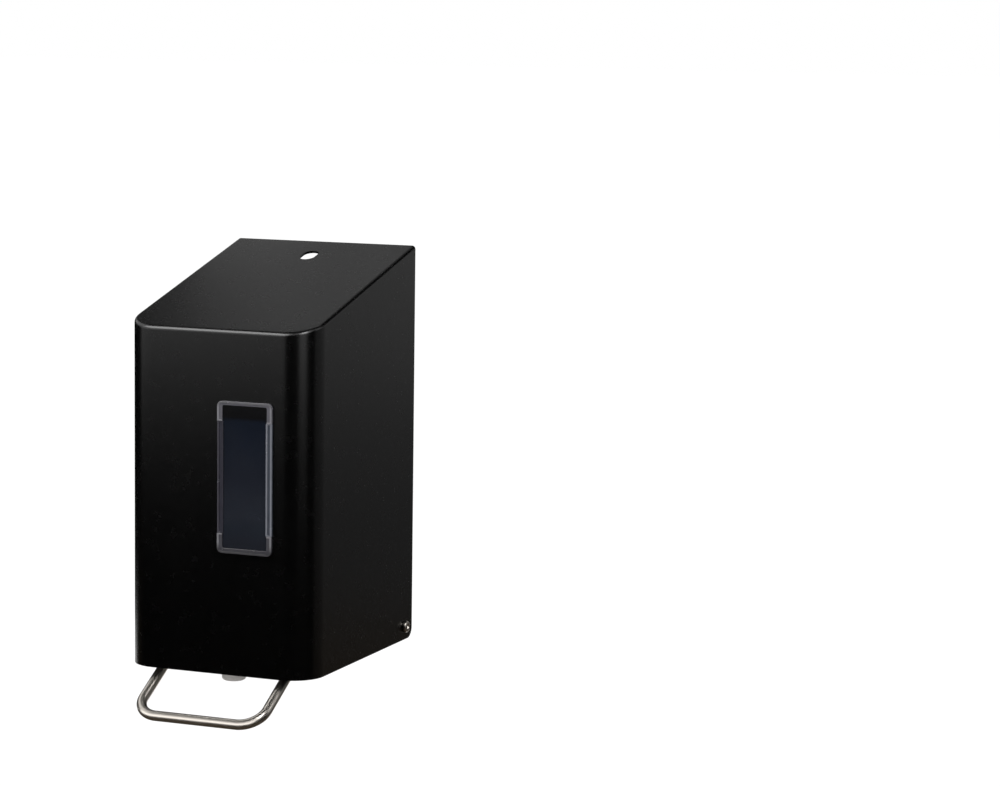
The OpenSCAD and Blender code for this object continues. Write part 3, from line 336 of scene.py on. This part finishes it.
# Painted light: the rim's front edges are painted dark at the lower end, bright over most of their height
# where light from above falls, and darker again at the very top.
EDGE = clear_plastic_painted_light(
    "clear_edge", "Z", WINDOW_Z - MOUNT_Z, WINDOW_H,
    (0.0, (0.075, 0.074, 0.080)),
    (0.025, (0.080, 0.079, 0.085)),
    (0.07, (0.318, 0.315, 0.340)),
    (0.8, (0.358, 0.355, 0.390)),
    (0.96, (0.340, 0.337, 0.370)),
    (0.985, (0.210, 0.208, 0.225)),
)
# Painted light: the rails are painted darker on the left and lighter on the right, where the light from the
# right falls.
RAIL = clear_plastic_painted_light(
    "clear_rail", "X", WINDOW_X, WINDOW_W,
    (0.0, (0.066, 0.063, 0.086)),
    (1.0, (0.116, 0.132, 0.168)),
)
# Painted highlights: the left rail's outer ridge a little lighter, its inner ridge dark, and the right rail's
# ridges bright, where the light from the right catches them.
RIDGE = clear_plastic_painted_light(
    "clear_ridge", "X", WINDOW_X, WINDOW_W,
    (0.04, (0.104, 0.100, 0.122)),
    (0.08, (0.060, 0.057, 0.076)),
    (0.5, (0.100, 0.102, 0.118)),
    (0.88, (0.316, 0.332, 0.382)),
)
PANE = smoke_pane()
BLACK_RUBBER = rubber("black_rubber", grey(0.010), grey(0.020))
SILICONE = rubber("red_silicone", (0.34, 0.045, 0.030), (0.46, 0.070, 0.045))


# Mesh helpers

SHARP_ANGLE, EDGE_SEGMENTS = math.radians(35.0), 2  # which edges are rounded, and how finely


def new_object(name, bm, material):
    """An object in the scene with the mesh that was made and one material."""
    mesh = bpy.data.meshes.new(name)
    bm.to_mesh(mesh)
    bm.free()
    mesh.materials.append(material)
    obj = bpy.data.objects.new(name, mesh)
    bpy.context.scene.collection.objects.link(obj)
    return obj


def piece(name, bm, body, material, node, edge=0.0, sheet=0.0):
    """A piece that stands for a CAD node: edge rounds it and sheet thickens an open surface, in mm."""
    if not sheet:
        bmesh.ops.recalc_face_normals(bm, faces=bm.faces)
    obj = new_object(name, bm, material)
    obj.data.shade_smooth()
    if sheet:
        shell = obj.modifiers.new("sheet", "SOLIDIFY")
        shell.thickness = sheet * MM
        shell.offset = -1.0
        shell.use_even_offset = True
    if edge:
        soften(obj, edge)
    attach(obj, body)
    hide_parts(node)
    return obj


def soften(obj, width):
    """Rounds an object's sharp edges, width in mm, and keeps its flat faces flat."""
    bevel = obj.modifiers.new("edges", "BEVEL")
    bevel.width = width * MM
    bevel.segments = EDGE_SEGMENTS
    bevel.limit_method = "ANGLE"
    bevel.angle_limit = SHARP_ANGLE
    normals = obj.modifiers.new("normals", "WEIGHTED_NORMAL")
    normals.keep_sharp = True


def join_rings(bm, rings, around=True):
    """Faces between rows of vertices that have the same count."""
    for low, high in zip(rings, rings[1:]):
        count = len(low) if around else len(low) - 1
        for k in range(count):
            j = (k + 1) % len(low)
            bm.faces.new((low[k], low[j], high[j], high[k]))


def turned(bm, rows, sides, place):
    """A turned form with closed ends from rows of (radius, height); a radius may follow the angle."""
    rings = []
    for radius, height in rows:
        ring = []
        for k in range(sides):
            angle = 2 * math.pi * k / sides
            r = radius(angle) if callable(radius) else radius
            ring.append(bm.verts.new(place(r * math.cos(angle), r * math.sin(angle), height)))
        rings.append(ring)
    join_rings(bm, rings)
    bm.faces.new(rings[0])
    bm.faces.new(rings[-1])


def tube(bm, points, radius, sides, side):
    """A round tube along a path, with closed ends and a UV map of its length and its way round, in metres."""
    uv = bm.loops.layers.uv.verify()
    angles = [2 * math.pi * k / sides for k in range(sides)]
    rings, lengths, length = [], [], 0.0
    for i, point in enumerate(points):
        before = points[max(i - 1, 0)]
        ahead = points[min(i + 1, len(points) - 1)] - before
        across = side(i) if callable(side) else side
        out = ahead.cross(across).normalized()
        over = out.cross(ahead).normalized()
        spokes = [math.cos(a) * out + math.sin(a) * over for a in angles]
        rings.append([bm.verts.new(point + radius * spoke) for spoke in spokes])
        length += (point - before).length
        lengths.append(length)
    girth = 2 * math.pi * radius
    for i in range(len(rings) - 1):
        for k in range(sides):
            j = (k + 1) % sides
            face = bm.faces.new((rings[i][k], rings[i][j], rings[i + 1][j], rings[i + 1][k]))
            ends = ((lengths[i], k), (lengths[i], k + 1), (lengths[i + 1], k + 1), (lengths[i + 1], k))
            for loop, (along, step) in zip(face.loops, ends):
                loop[uv].uv = (along, girth * step / sides)
    bm.faces.new(rings[0])
    bm.faces.new(rings[-1])


def arc(cx, cy, r, start, end, steps):
    """Points on a circle from one angle to another, in degrees, both ends included."""
    angles = [math.radians(start + (end - start) * i / steps) for i in range(steps + 1)]
    return [(cx + r * math.cos(a), cy + r * math.sin(a)) for a in angles]


def slab(bm, outline, y0, y1):
    """A flat shape drawn as (x, z), from depth y0 to y1."""
    front = [bm.verts.new(at(x, y0, z)) for x, z in outline]
    rear = [bm.verts.new(at(x, y1, z)) for x, z in outline]
    join_rings(bm, [front, rear])
    bm.faces.new(front)
    bm.faces.new(rear)


def frame_band(bm, outer, inner, y0, y1):
    """A closed band between two outlines of equal count, drawn as (x, z), from depth y0 to y1."""
    rows = [(outer, y0), (inner, y0), (inner, y1), (outer, y1)]
    rings = [[bm.verts.new(at(x, y, z)) for x, z in line] for line, y in rows]
    join_rings(bm, rings + rings[:1])


def rectangle(x0, x1, z0, z1):
    """Outline of a plain rectangle, as (x, z)."""
    return [(x0, z0), (x1, z0), (x1, z1), (x0, z1)]


def round_box(cx, cz, w, h, r):
    """Outline of a rectangle with round corners, as (x, z)."""
    x, z = w / 2 - r, h / 2 - r
    corners = ((x, z, 0), (-x, z, 90), (-x, -z, 180), (x, -z, 270))
    return [p for dx, dz, a in corners for p in arc(cx + dx, cz + dz, r, a, a + 90, ROUND_STEPS)]


# Cover


def cover_plan(inset):
    """The cover's plan from its left rear edge round the front to its right rear edge, drawn in by inset."""
    half, bend_y, heel_y = COVER_W / 2, CORNER_R - COVER_D, -WALL_GAP - HEEL_R
    heel = [heel_y + HEEL_R * math.sin(math.radians(a)) for a in range(90, -1, -HEEL_DEGREES)]
    left = [(inset - half, y) for y in heel]
    right = [(half - inset, y) for y in reversed(heel)]
    r = CORNER_R - inset
    left_bend = arc(CORNER_R - half, bend_y, r, 180, 270, CORNER_STEPS)
    right_bend = arc(half - CORNER_R, bend_y, r, 270, 360, CORNER_STEPS)
    front_y = inset - COVER_D
    sill = [(WINDOW_X - TRAY_W / 2, front_y), (WINDOW_X + TRAY_W / 2, front_y)]
    return left + left_bend + sill + right_bend + right


def cover_foot(y):
    """Height of the cover's lower edge, which curves up at its lower rear corners."""
    over = y + WALL_GAP + HEEL_R
    return HEEL_R - math.sqrt(max(0.0, HEEL_R**2 - over**2)) if over > 0 else 0.0


def make_cover():
    """One sheet: walls with the tray's hole, a rounded roof edge, and a flat roof with the key slot."""
    bm = bmesh.new()
    plan = cover_plan(0)
    tray_low, tray_high = WINDOW_Z - TRAY_H / 2, WINDOW_Z + TRAY_H / 2
    heights = [(cover_foot(y), tray_low, tray_high, roof_z(y) - ROOF_EDGE_R) for x, y in plan]
    rows = [[bm.verts.new(at(x, y, z)) for (x, y), z in zip(plan, row)] for row in zip(*heights)]
    for a in range(ROOF_EDGE_DEGREES, 91, ROOF_EDGE_DEGREES):
        turn = math.radians(a)
        inset, drop = ROOF_EDGE_R * (1 - math.cos(turn)), ROOF_EDGE_R * (1 - math.sin(turn))
        rows.append([bm.verts.new(at(x, y, roof_z(y) - drop)) for x, y in cover_plan(inset)])
    join_rings(bm, rows, around=False)
    sill = plan.index((WINDOW_X - TRAY_W / 2, -COVER_D))
    hole = {rows[1][sill], rows[1][sill + 1], rows[2][sill], rows[2][sill + 1]}
    bmesh.ops.delete(bm, geom=[f for f in bm.faces if set(f.verts) == hole], context="FACES_ONLY")
    half, r = (SLOT_L - SLOT_W) / 2, SLOT_W / 2
    slot = arc(0, -SLOT_BACK + half, r, 0, 180, SLOT_STEPS)
    slot += arc(0, -SLOT_BACK - half, r, 180, 360, SLOT_STEPS)
    key = [bm.verts.new(at(x, y, roof_z(y))) for x, y in slot]
    roof = rows[-1]
    edges = [bm.edges.get(pair) for pair in zip(roof, roof[1:])]
    edges.append(bm.edges.new((roof[-1], roof[0])))
    edges += [bm.edges.new(pair) for pair in zip(key, key[1:] + key[:1])]
    bmesh.ops.triangle_fill(bm, edges=edges, use_beauty=True)
    bmesh.ops.recalc_face_normals(bm, faces=bm.faces)
    top = max(bm.faces, key=lambda f: f.calc_center_median().z * f.calc_area())
    if top.normal.z < 0:
        bmesh.ops.reverse_faces(bm, faces=bm.faces)
    piece("cover_sheet", bm, "cover", PAINT, "cover", SHEET_EDGE, SHEET)


# Window


def cap_line(inset, end, flip, notch):
    """One end of the rim drawn in by inset, from its right notch round to its left one, as (x, z)."""
    left, right = WINDOW_X - WINDOW_W / 2 + inset, WINDOW_X + WINDOW_W / 2 - inset
    r, end = WINDOW_R - inset, end - flip * inset
    bends = arc(right - r, 0, r, 0, 90, CAP_STEPS) + arc(left + r, 0, r, 90, 180, CAP_STEPS)
    return [(right, notch)] + [(x, end + flip * (z - r)) for x, z in bends] + [(left, notch)]


def make_window():
    """The clear rim: two caps, their edges and two ridged rails; and the pane with its tray and hooks."""
    left, right = WINDOW_X - WINDOW_W / 2, WINDOW_X + WINDOW_W / 2
    leg_left, leg_right = left + LEG_BAND, right - LEG_BAND
    low, high = WINDOW_Z - WINDOW_H / 2, WINDOW_Z + WINDOW_H / 2
    notch_low, notch_high = WINDOW_Z - RAIL_L / 2, WINDOW_Z + RAIL_L / 2
    inner = arc(leg_left + CAP_INNER_R, 0, CAP_INNER_R, 180, 90, CAP_INNER_STEPS)
    inner += arc(leg_right - CAP_INNER_R, 0, CAP_INNER_R, 90, 0, CAP_INNER_STEPS)
    caps, edges = bmesh.new(), bmesh.new()
    for end, bar, notch, flip in (
        (high, high - CAP_TOP, notch_high, 1),
        (low, low + CAP_FOOT, notch_low, -1),
    ):
        foot = notch + flip * CAP_SKIN
        outline = cap_line(CAP_SKIN, end, flip, foot) + [(leg_left, foot)]
        outline += [(x, bar + flip * (z - CAP_INNER_R)) for x, z in inner] + [(leg_right, foot)]
        slab(caps, outline, WINDOW_FRONT + CAP_STEP, -COVER_D)
        lip = notch + flip * EDGE_END
        outline = cap_line(0, end, flip, notch) + [(leg_left, notch), (leg_left, lip)]
        outline += reversed(cap_line(EDGE_W, end, flip, lip))
        outline += [(leg_right, lip), (leg_right, notch)]
        slab(edges, outline, WINDOW_FRONT, WINDOW_FRONT + CAP_STEP + LAP)
    piece("window_caps", caps, "cover", RIM, "window", CAP_ROUND)
    piece("window_edges", edges, "cover", EDGE, "window", EDGE_ROUND)
    rails, ridges = bmesh.new(), bmesh.new()
    rail_low, rail_high = notch_low + RAIL_GAP, notch_high - RAIL_GAP
    for x0 in (left, right - RAIL_BAND):
        x1 = x0 + RAIL_BAND
        outer = rectangle(x0, x1, rail_low, rail_high)
        slab(rails, outer, WINDOW_FRONT + RAIL_STEP, -COVER_D)
        inside = rectangle(x0 + RIDGE_W, x1 - RIDGE_W, rail_low + RAIL_END, rail_high - RAIL_END)
        frame_band(ridges, outer, inside, WINDOW_FRONT + RIDGE_STEP, WINDOW_FRONT + RAIL_STEP + LAP)
    piece("window_rails", rails, "cover", RAIL, "window", RAIL_ROUND)
    piece("window_ridges", ridges, "cover", RIDGE, "window", RIDGE_ROUND)
    pane = bmesh.new()
    pane_z, pane_h = WINDOW_Z + (CAP_FOOT - CAP_TOP) / 2, WINDOW_H - CAP_TOP - CAP_FOOT
    pane_rear = PANE_FRONT + PANE_T
    slab(pane, round_box(WINDOW_X, pane_z, WINDOW_W - 2 * LEG_BAND, pane_h, PANE_R), PANE_FRONT, pane_rear)
    outer = round_box(WINDOW_X, WINDOW_Z, TRAY_W, TRAY_H, TRAY_R)
    inside = round_box(WINDOW_X, WINDOW_Z, TRAY_W - 2 * PANE_T, TRAY_H - 2 * PANE_T, TRAY_INNER_R)
    frame_band(pane, outer, inside, pane_rear, TRAY_REAR)
    for side in (-1, 1):
        x0 = WINDOW_X + side * TRAY_W / 2
        hook = rectangle(x0, x0 + side * HOOK_REACH, WINDOW_Z - HOOK_L / 2, WINDOW_Z + HOOK_L / 2)
        slab(pane, hook, TRAY_REAR - HOOK_T, TRAY_REAR)
    piece("window_pane", pane, "cover", PANE, "window", PANE_ROUND)


# Lever


def make_lever():
    """The bent rod: its bar across the front, two bends and two arms, in one tilted plane."""
    bend_x = ARM_X - BEND_R
    bar = [(bend_x * i / BAR_STEPS, 0.0) for i in range(BAR_STEPS)]
    bend = arc(bend_x, BEND_R, BEND_R, 270, 360, BEND_STEPS)
    arm = [(ARM_X, BEND_R + (ARM_LEN - BEND_R) * i / ARM_STEPS) for i in range(1, ARM_STEPS + 1)]
    half = bar + bend + arm
    flat = [(-x, s) for x, s in reversed(half[1:])] + half
    rise, run = math.sin(LEVER_TILT), math.cos(LEVER_TILT)
    path = [at(x, BAR_Y + s * run, BAR_Z + s * rise) for x, s in flat]
    bm = bmesh.new()
    tube(bm, path, ROD_D / 2 * MM, ROD_SIDES, Vector((0, -rise, run)))
    return piece("lever_bar", bm, "lever", ROD_STEEL, "lever_rod")


# Hinge screws, sizes in mm

AXIS_R = 0.05  # the small flat that closes a turned end
TIP_CHAMFER, SEAT_CHAMFER, SOCKET_CHAMFER = 0.5, 0.15, 0.15
CROWN = ((0.0, 0.9), (0.12, 0.5), (0.45, 0.18), (0.9, 0.0))  # in from the head's rim, down from its top
CROWN_R, SOCKET_WALL_FOOT, SOCKET_POINT = 2.0, 0.4, 0.35  # the last two are shares of the head's height


def hex_radius(flats):
    """Radius of a hexagon with that width across its flats, by angle."""
    sixth = math.pi / 3
    return lambda a: flats / 2 / math.cos((a % sixth) - sixth / 2)


def make_hinge_screws():
    """Two button-head screws with hexagon sockets, from the shank's tip to the socket's floor."""
    r, h, shank = HINGE_HEAD_D / 2, HINGE_HEAD_H, HINGE_D / 2
    socket = hex_radius(HINGE_SOCKET)
    tip = HINGE_TIP_X - HINGE_SEAT_X
    rows = [(AXIS_R, tip), (shank - TIP_CHAMFER, tip), (shank, tip + TIP_CHAMFER), (shank, 0)]
    rows += [(r - SEAT_CHAMFER, 0), (r, SEAT_CHAMFER)]
    rows += [(r - inward, h - down) for inward, down in CROWN] + [(CROWN_R, h)]
    rows += [(lambda a: socket(a) + SOCKET_CHAMFER, h), (socket, h - SOCKET_CHAMFER)]
    rows += [(socket, SOCKET_WALL_FOOT * h), (AXIS_R, SOCKET_POINT * h)]
    bm = bmesh.new()
    for side in (-1, 1):
        turned(bm, rows, SCREW_SIDES, lambda u, v, x: at(side * (HINGE_SEAT_X + x), HINGE_Y + u, HINGE_Z + v))
    piece("hinge_bolts", bm, "wall_unit", SMALL_STEEL, "hinge_screws")


# Springs

FLAT_CURLS, EVEN_RISE = 0.75, 0.1  # flat curls at each end, and the share of the rise spread over all


def spring(name, radius, wire, curls, length, place, node):
    """A closed-end coil spring whose middle curls are spread and whose end curls lie flat."""
    steps = CURL_STEPS * curls
    points, axis_at = [], []
    for i in range(steps + 1):
        t = i / steps
        turn = 2 * math.pi * curls * t
        rise = min(1.0, max(0.0, (t * curls - FLAT_CURLS) / (curls - 2 * FLAT_CURLS)))
        height = wire / 2 + (length - wire) * (rise * (1 - EVEN_RISE) + t * EVEN_RISE)
        points.append(place(radius * math.cos(turn), radius * math.sin(turn), height))
        axis_at.append(place(0, 0, height))
    bm = bmesh.new()
    tube(bm, points, wire / 2 * MM, WIRE_SIDES, lambda i: points[i] - axis_at[i])
    return piece(name, bm, "wall_unit", SMALL_STEEL, node)


def make_springs():
    """The pump's return spring and the latch's spring, each with a mesh of its own."""
    length = SPRING_REAR - SPRING_FRONT
    coil = spring("pump_coil", SPRING_R, SPRING_WIRE, SPRING_CURLS, length,
                  lambda u, v, h: at(u, SPRING_FRONT + h, PISTON_Z + v), "return_spring")
    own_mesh(coil)
    length = LATCH_SPRING_HIGH - LATCH_SPRING_LOW
    coil = spring("latch_coil", LATCH_SPRING_R, LATCH_WIRE, LATCH_CURLS, length,
                  lambda u, v, h: at(u, LATCH_SPRING_Y + v, LATCH_SPRING_LOW + h), "latch_spring")
    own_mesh(coil)


# CAD nodes that keep their shape

WELD_GAP = 5 * MICRON

DRESSED = (  # finish, rounding of the edges in mm, nodes
    (PLATED, 0.3, ("back_plate", "bottle_shelf", "latch_keepers", "lever_brackets")),
    (PLATED, 0.2, ("hinge_nuts", "shelf_screws", "pump_screws", "latch_screws")),
    (PLATED, 0.2, ("pin_clips", "rod_set_screws")),
    (SMALL_STEEL, 0.3, ("lever_pins",)),
    (BOTTLE, 0.6, ("bottle", "filler_ring")),
    (DARK, 0.4, ("filler_cap", "pump_gland", "piston", "lever_yoke", "window_retainer")),
    (WHITE, 0.4, ("pump_body", "nozzle_collar", "latch_housing", "latch")),
    (WHITE, 0.2, ("hinge_bushes", "yoke_bushes")),
    (MILKY, 0.3, ("nozzle",)),
    (BLACK_RUBBER, 0.2, ("neck_seal", "piston_seal")),
    (SILICONE, 0.2, ("inlet_valve", "outlet_valve")),
)


def dress(node, material, edge):
    """Gives a CAD node its finish and rounds its sharp edges, edge in mm."""
    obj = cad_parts[node]
    obj.data.materials.clear()
    obj.data.materials.append(material)
    weld = obj.modifiers.new("weld", "WELD")
    weld.merge_threshold = WELD_GAP
    soften(obj, edge)


make_cover()
make_window()
lever_bar = make_lever()
make_hinge_screws()
make_springs()
for finish, rounding, nodes in DRESSED:
    for node_name in nodes:
        dress(node_name, finish, rounding)


# Stage, light and camera, places and sizes in metres

WHITE_RGBA = (1.0, 1.0, 1.0, 1.0)
UP, DOWN = (0, 0, 1), (0, 0, -1)
ROOF_FACING, ROOF_RIGHT_FACING = (0.37, -0.73, -0.58), (-0.37, -0.73, -0.58)
WARM = (1.0, 0.8, 0.6)

FLOOR_Z, FLOOR_SIZE, FLOOR_GLOW = -0.30, (60, 60), 0.72
STUDIO_X, STUDIO_Y, STUDIO_FOOT = 0.03, -0.13, -0.28  # the walls' centre and lower edge
NEAR, NEARER, FAR = 0.42, 0.41, 1.0  # the walls' radii

# Glows of the walls, as (height, level) from low to high
FRONT_GLOW = (
    (STUDIO_FOOT, 0.0), (-0.12, 0.0), (-0.06, 0.025), (-0.02, 0.1), (0.02, 0.3),
    (0.06, 0.7), (0.12, 1.15), (0.3, 1.1), (0.37, 7.0), (0.8, 7.0),
)
STRIP_SHARE = 1.5
STRIP_GLOW = tuple((height, STRIP_SHARE * level) for height, level in FRONT_GLOW)
BAR_GLOW = (
    (STUDIO_FOOT, 0.0), (-0.2, 0.05), (-0.16, 0.4), (-0.12, 1.8), (-0.07, 2.15), (0.0, 1.9),
    (0.08, 1.35), (0.2, 0.8), (0.4, 0.25), (0.66, 0.1), (0.8, 0.05),
)
SIDE_GLOW = ((STUDIO_FOOT, 0.075), (-0.19, 0.08), (-0.1, 0.11), (-0.03, 0.2), (0.2, 0.35), (0.35, 0.3))
DARK_WALL = ((STUDIO_FOOT, 0.0), (0.35, 0.01))

# Glows of the cards, as (share of the width from -0.5 to 0.5, level)
ROOF_GLOW = (
    (-0.5, 0.05), (-0.24, 0.08), (-0.2, 0.12), (-0.11, 0.20), (-0.04, 0.26),
    (0.0, 0.24), (0.12, 0.30), (0.2, 0.20), (0.5, 0.17),
)
EVEN_LIGHT, EVEN_DIM, EVEN_DARK = (((-0.5, level), (0.5, level)) for level in (0.5, 0.06, 0.01))

WALLS = (  # name, first and last bearing in degrees, radius, glow, whether rays also pass through
    ("wall_left", -178, -76, FAR, DARK_WALL, False),
    ("wall_front_left", -76, -6, NEAR, FRONT_GLOW, False),
    ("wall_front", -6, 41, NEAR, DARK_WALL, False),
    ("wall_strip", 42, 66, NEAR, STRIP_GLOW, False),
    ("wall_right", 67, 98, NEAR, DARK_WALL, False),
    ("wall_side", 98, 178, FAR, SIDE_GLOW, False),
    ("wall_bar", -76, 41, NEARER, BAR_GLOW, True),
)
CARDS = (  # name, centre, size, facing, glow, colour
    ("card_below_front", (-0.1, -1.45, STUDIO_FOOT), (6.2, 3.1), UP, EVEN_DIM, WARM),
    ("card_below_side", (1.56, 1.55, STUDIO_FOOT), (2.9, 2.9), UP, EVEN_DIM, WARM),
    ("card_roof", (-0.147, 0.216, 0.34), (0.5, 0.40), ROOF_FACING, ROOF_GLOW, WHITE_RGB),
    ("card_roof_low", (-0.197, 0.259, 0.232), (0.10, 0.12), ROOF_FACING, EVEN_LIGHT, WHITE_RGB),
    ("card_roof_right", (0.62, 0.85, 0.85), (1.1, 1.3), ROOF_RIGHT_FACING, EVEN_DARK, WHITE_RGB),
    ("card_over", (0.1, -0.265, 1.1), (1.6, 1.23), DOWN, EVEN_DARK, WHITE_RGB),
)

KEY_PLACE, KEY_TARGET, KEY_SIZE = (-0.30, -0.45, 0.80), (0, -0.1, 0.05), (0.5, 0.35)
KEY_POWER, KEY_COLOUR = 4.0, (1.0, 0.97, 0.93)

# The photo's camera, solved from the cover's edges, the window and the lever: its angles in
# radians, a point of the part in mm and that point's place from the camera in cover widths.
YAW, PITCH, ROLL = 0.37930828, 0.12365960, 0.01359271
SIGHT_POINT, SIGHT_OFFSET = (0, -96, 156), (-1.19455, -0.01482, 14.84444550)
FOCAL_PIXELS, PHOTO_PIXELS, SENSOR_W, CLIP_END = 3032.2, 1000, 36.0, 100.0


def aim(obj, direction, axis):
    """Turns an object so that its axis points in a direction."""
    obj.rotation_mode = "QUATERNION"
    obj.rotation_quaternion = Vector(direction).to_track_quat(axis, "Y")


def stage_plane(name, centre, size, facing, material):
    """A flat sheet of the studio, facing along a direction."""
    bm = bmesh.new()
    bmesh.ops.create_grid(bm, x_segments=1, y_segments=1, size=0.5)
    obj = new_object(name, bm, material)
    obj.scale = (*size, 1.0)
    aim(obj, facing, "Z")
    obj.location = centre
    return obj


def background_share(s):
    """1 for a ray that should meet the plain white background, 0 for the light on the object."""
    path = s.add("ShaderNodeLightPath")
    total = path.outputs["Is Camera Ray"]
    for name in ("Is Glossy Ray", "Is Transmission Ray"):
        either = s.add("ShaderNodeMath")
        either.operation = "MAXIMUM"
        s.link(total, either.inputs[0])
        s.link(path.outputs[name], either.inputs[1])
        total = either.outputs["Value"]
    return total


def make_world():
    """An even white world, which lights the object and is the background over the floor."""
    world = bpy.data.worlds.new("studio")
    bpy.context.scene.world = world
    world.use_nodes = True
    sky = world.node_tree.nodes["Background"]
    sky.inputs["Color"].default_value = WHITE_RGBA
    sky.inputs["Strength"].default_value = 1.0


def floor_material():
    """White floor that still takes the object's shadow, and is clear seen from below."""
    s = Shader("white_floor")
    glow = s.add("ShaderNodeEmission")
    glow.inputs["Color"].default_value = WHITE_RGBA
    level = s.add("ShaderNodeMath")
    level.operation = "MULTIPLY"
    s.link(background_share(s), level.inputs[0])
    level.inputs[1].default_value = FLOOR_GLOW
    s.link(level.outputs["Value"], glow.inputs["Strength"])
    s.set(Roughness=1.0, Specular_IOR_Level=0.0)
    s.feed("Base Color", s.blend(s.noise(6, 2), grey(0.30), grey(0.32)))
    both = s.add("ShaderNodeAddShader")
    s.link(glow.outputs["Emission"], both.inputs[0])
    s.link(s.bsdf.outputs["BSDF"], both.inputs[1])
    one_sided = s.add("ShaderNodeMixShader")
    s.link(s.add("ShaderNodeNewGeometry").outputs["Backfacing"], one_sided.inputs["Fac"])
    s.link(both.outputs["Shader"], one_sided.inputs[1])
    s.link(s.add("ShaderNodeBsdfTransparent").outputs["BSDF"], one_sided.inputs[2])
    s.show(one_sided.outputs["Shader"])
    return s.material


def glow_material(name, axis, levels, colour, clear):
    """A glow that follows an axis, as (place, level) from low to high. A clear one lets rays through too."""
    s = Shader(name)
    s.set(Base_Color=(0.0, 0.0, 0.0, 1.0), Roughness=1.0, Specular_IOR_Level=0.0, Emission_Strength=1.0)
    low, high = levels[0][0], levels[-1][0]
    stops = [((place - low) / (high - low), [level * c for c in colour]) for place, level in levels]
    s.feed("Emission Color", s.ramp(s.along(axis, low, high), *stops))
    s.material.cycles.emission_sampling = "NONE"
    if clear:
        both = s.add("ShaderNodeAddShader")
        s.link(s.bsdf.outputs["BSDF"], both.inputs[0])
        s.link(s.add("ShaderNodeBsdfTransparent").outputs["BSDF"], both.inputs[1])
        s.show(both.outputs["Shader"])
    return s.material


def mirrored_only(obj):
    """Keeps a wall or card out of sight and without shade: only polished faces mirror it."""
    obj.visible_camera = False
    obj.visible_diffuse = False
    obj.visible_transmission = False
    obj.visible_volume_scatter = False
    obj.visible_shadow = False


def studio_wall(name, start, end, radius, levels, clear):
    """A curved wall round the object between two bearings in degrees, where 0 is in front and 90 right."""
    bm = bmesh.new()
    bearings = [math.radians(start + (end - start) * i / WALL_STEPS) for i in range(WALL_STEPS + 1)]
    plan = [(STUDIO_X + radius * math.sin(b), STUDIO_Y - radius * math.cos(b)) for b in bearings]
    heights = (levels[0][0], levels[-1][0])
    join_rings(bm, [[bm.verts.new((x, y, z)) for x, y in plan] for z in heights], around=False)
    obj = new_object(name, bm, glow_material(name, "Z", levels, WHITE_RGB, clear))
    mirrored_only(obj)


def mirrored_in(wall_name, mirror, state):
    """Lets one piece alone mirror a studio wall ("INCLUDE"), or all the others ("EXCLUDE")."""
    group = bpy.data.collections.new(wall_name + "_mirrors")
    group.objects.link(mirror)
    group.collection_objects[0].light_linking.link_state = state
    bpy.data.objects[wall_name].light_linking.receiver_collection = group


def card(name, centre, size, facing, levels, colour):
    """A flat studio card whose glow follows its width."""
    material = glow_material(name, "X", levels, colour, False)
    mirrored_only(stage_plane(name, centre, size, facing, material))


def make_key():
    """A soft lamp from the upper left front, which polished faces don't mirror."""
    light = bpy.data.lights.new("key", "AREA")
    light.shape = "RECTANGLE"
    light.size, light.size_y = KEY_SIZE
    light.energy = KEY_POWER
    light.color = KEY_COLOUR
    obj = bpy.data.objects.new("key", light)
    obj.location = KEY_PLACE
    aim(obj, Vector(KEY_TARGET) - Vector(KEY_PLACE), "-Z")
    obj.visible_camera = False
    obj.visible_glossy = False
    bpy.context.scene.collection.objects.link(obj)


def make_camera():
    """Sets the photo's camera."""
    ahead = Vector((-math.sin(YAW) * math.cos(PITCH), math.cos(YAW) * math.cos(PITCH), -math.sin(PITCH)))
    level = Vector((math.cos(YAW), math.sin(YAW), 0.0))
    upright = level.cross(ahead)
    right = math.cos(ROLL) * level + math.sin(ROLL) * upright
    up = math.cos(ROLL) * upright - math.sin(ROLL) * level
    offset = Vector(SIGHT_OFFSET) * (COVER_W * MM)
    centre = at(*SIGHT_POINT) - offset.x * right - offset.y * up - offset.z * ahead
    lens = bpy.data.cameras.new("camera")
    lens.sensor_fit = "HORIZONTAL"
    lens.sensor_width = SENSOR_W
    lens.lens = FOCAL_PIXELS / PHOTO_PIXELS * SENSOR_W
    lens.clip_end = CLIP_END
    camera = bpy.data.objects.new("camera", lens)
    camera.matrix_world = Matrix.Translation(centre) @ Matrix((right, up, -ahead)).transposed().to_4x4()
    bpy.context.scene.collection.objects.link(camera)
    bpy.context.scene.camera = camera


bpy.context.scene.view_settings.view_transform = "Standard"
make_camera()
make_world()
stage_plane("floor", (0, 0, FLOOR_Z), FLOOR_SIZE, UP, floor_material())
for row in WALLS:
    studio_wall(*row)
mirrored_in("wall_front_left", lever_bar, "EXCLUDE")
mirrored_in("wall_bar", lever_bar, "INCLUDE")
for row in CARDS:
    card(*row)
make_key()
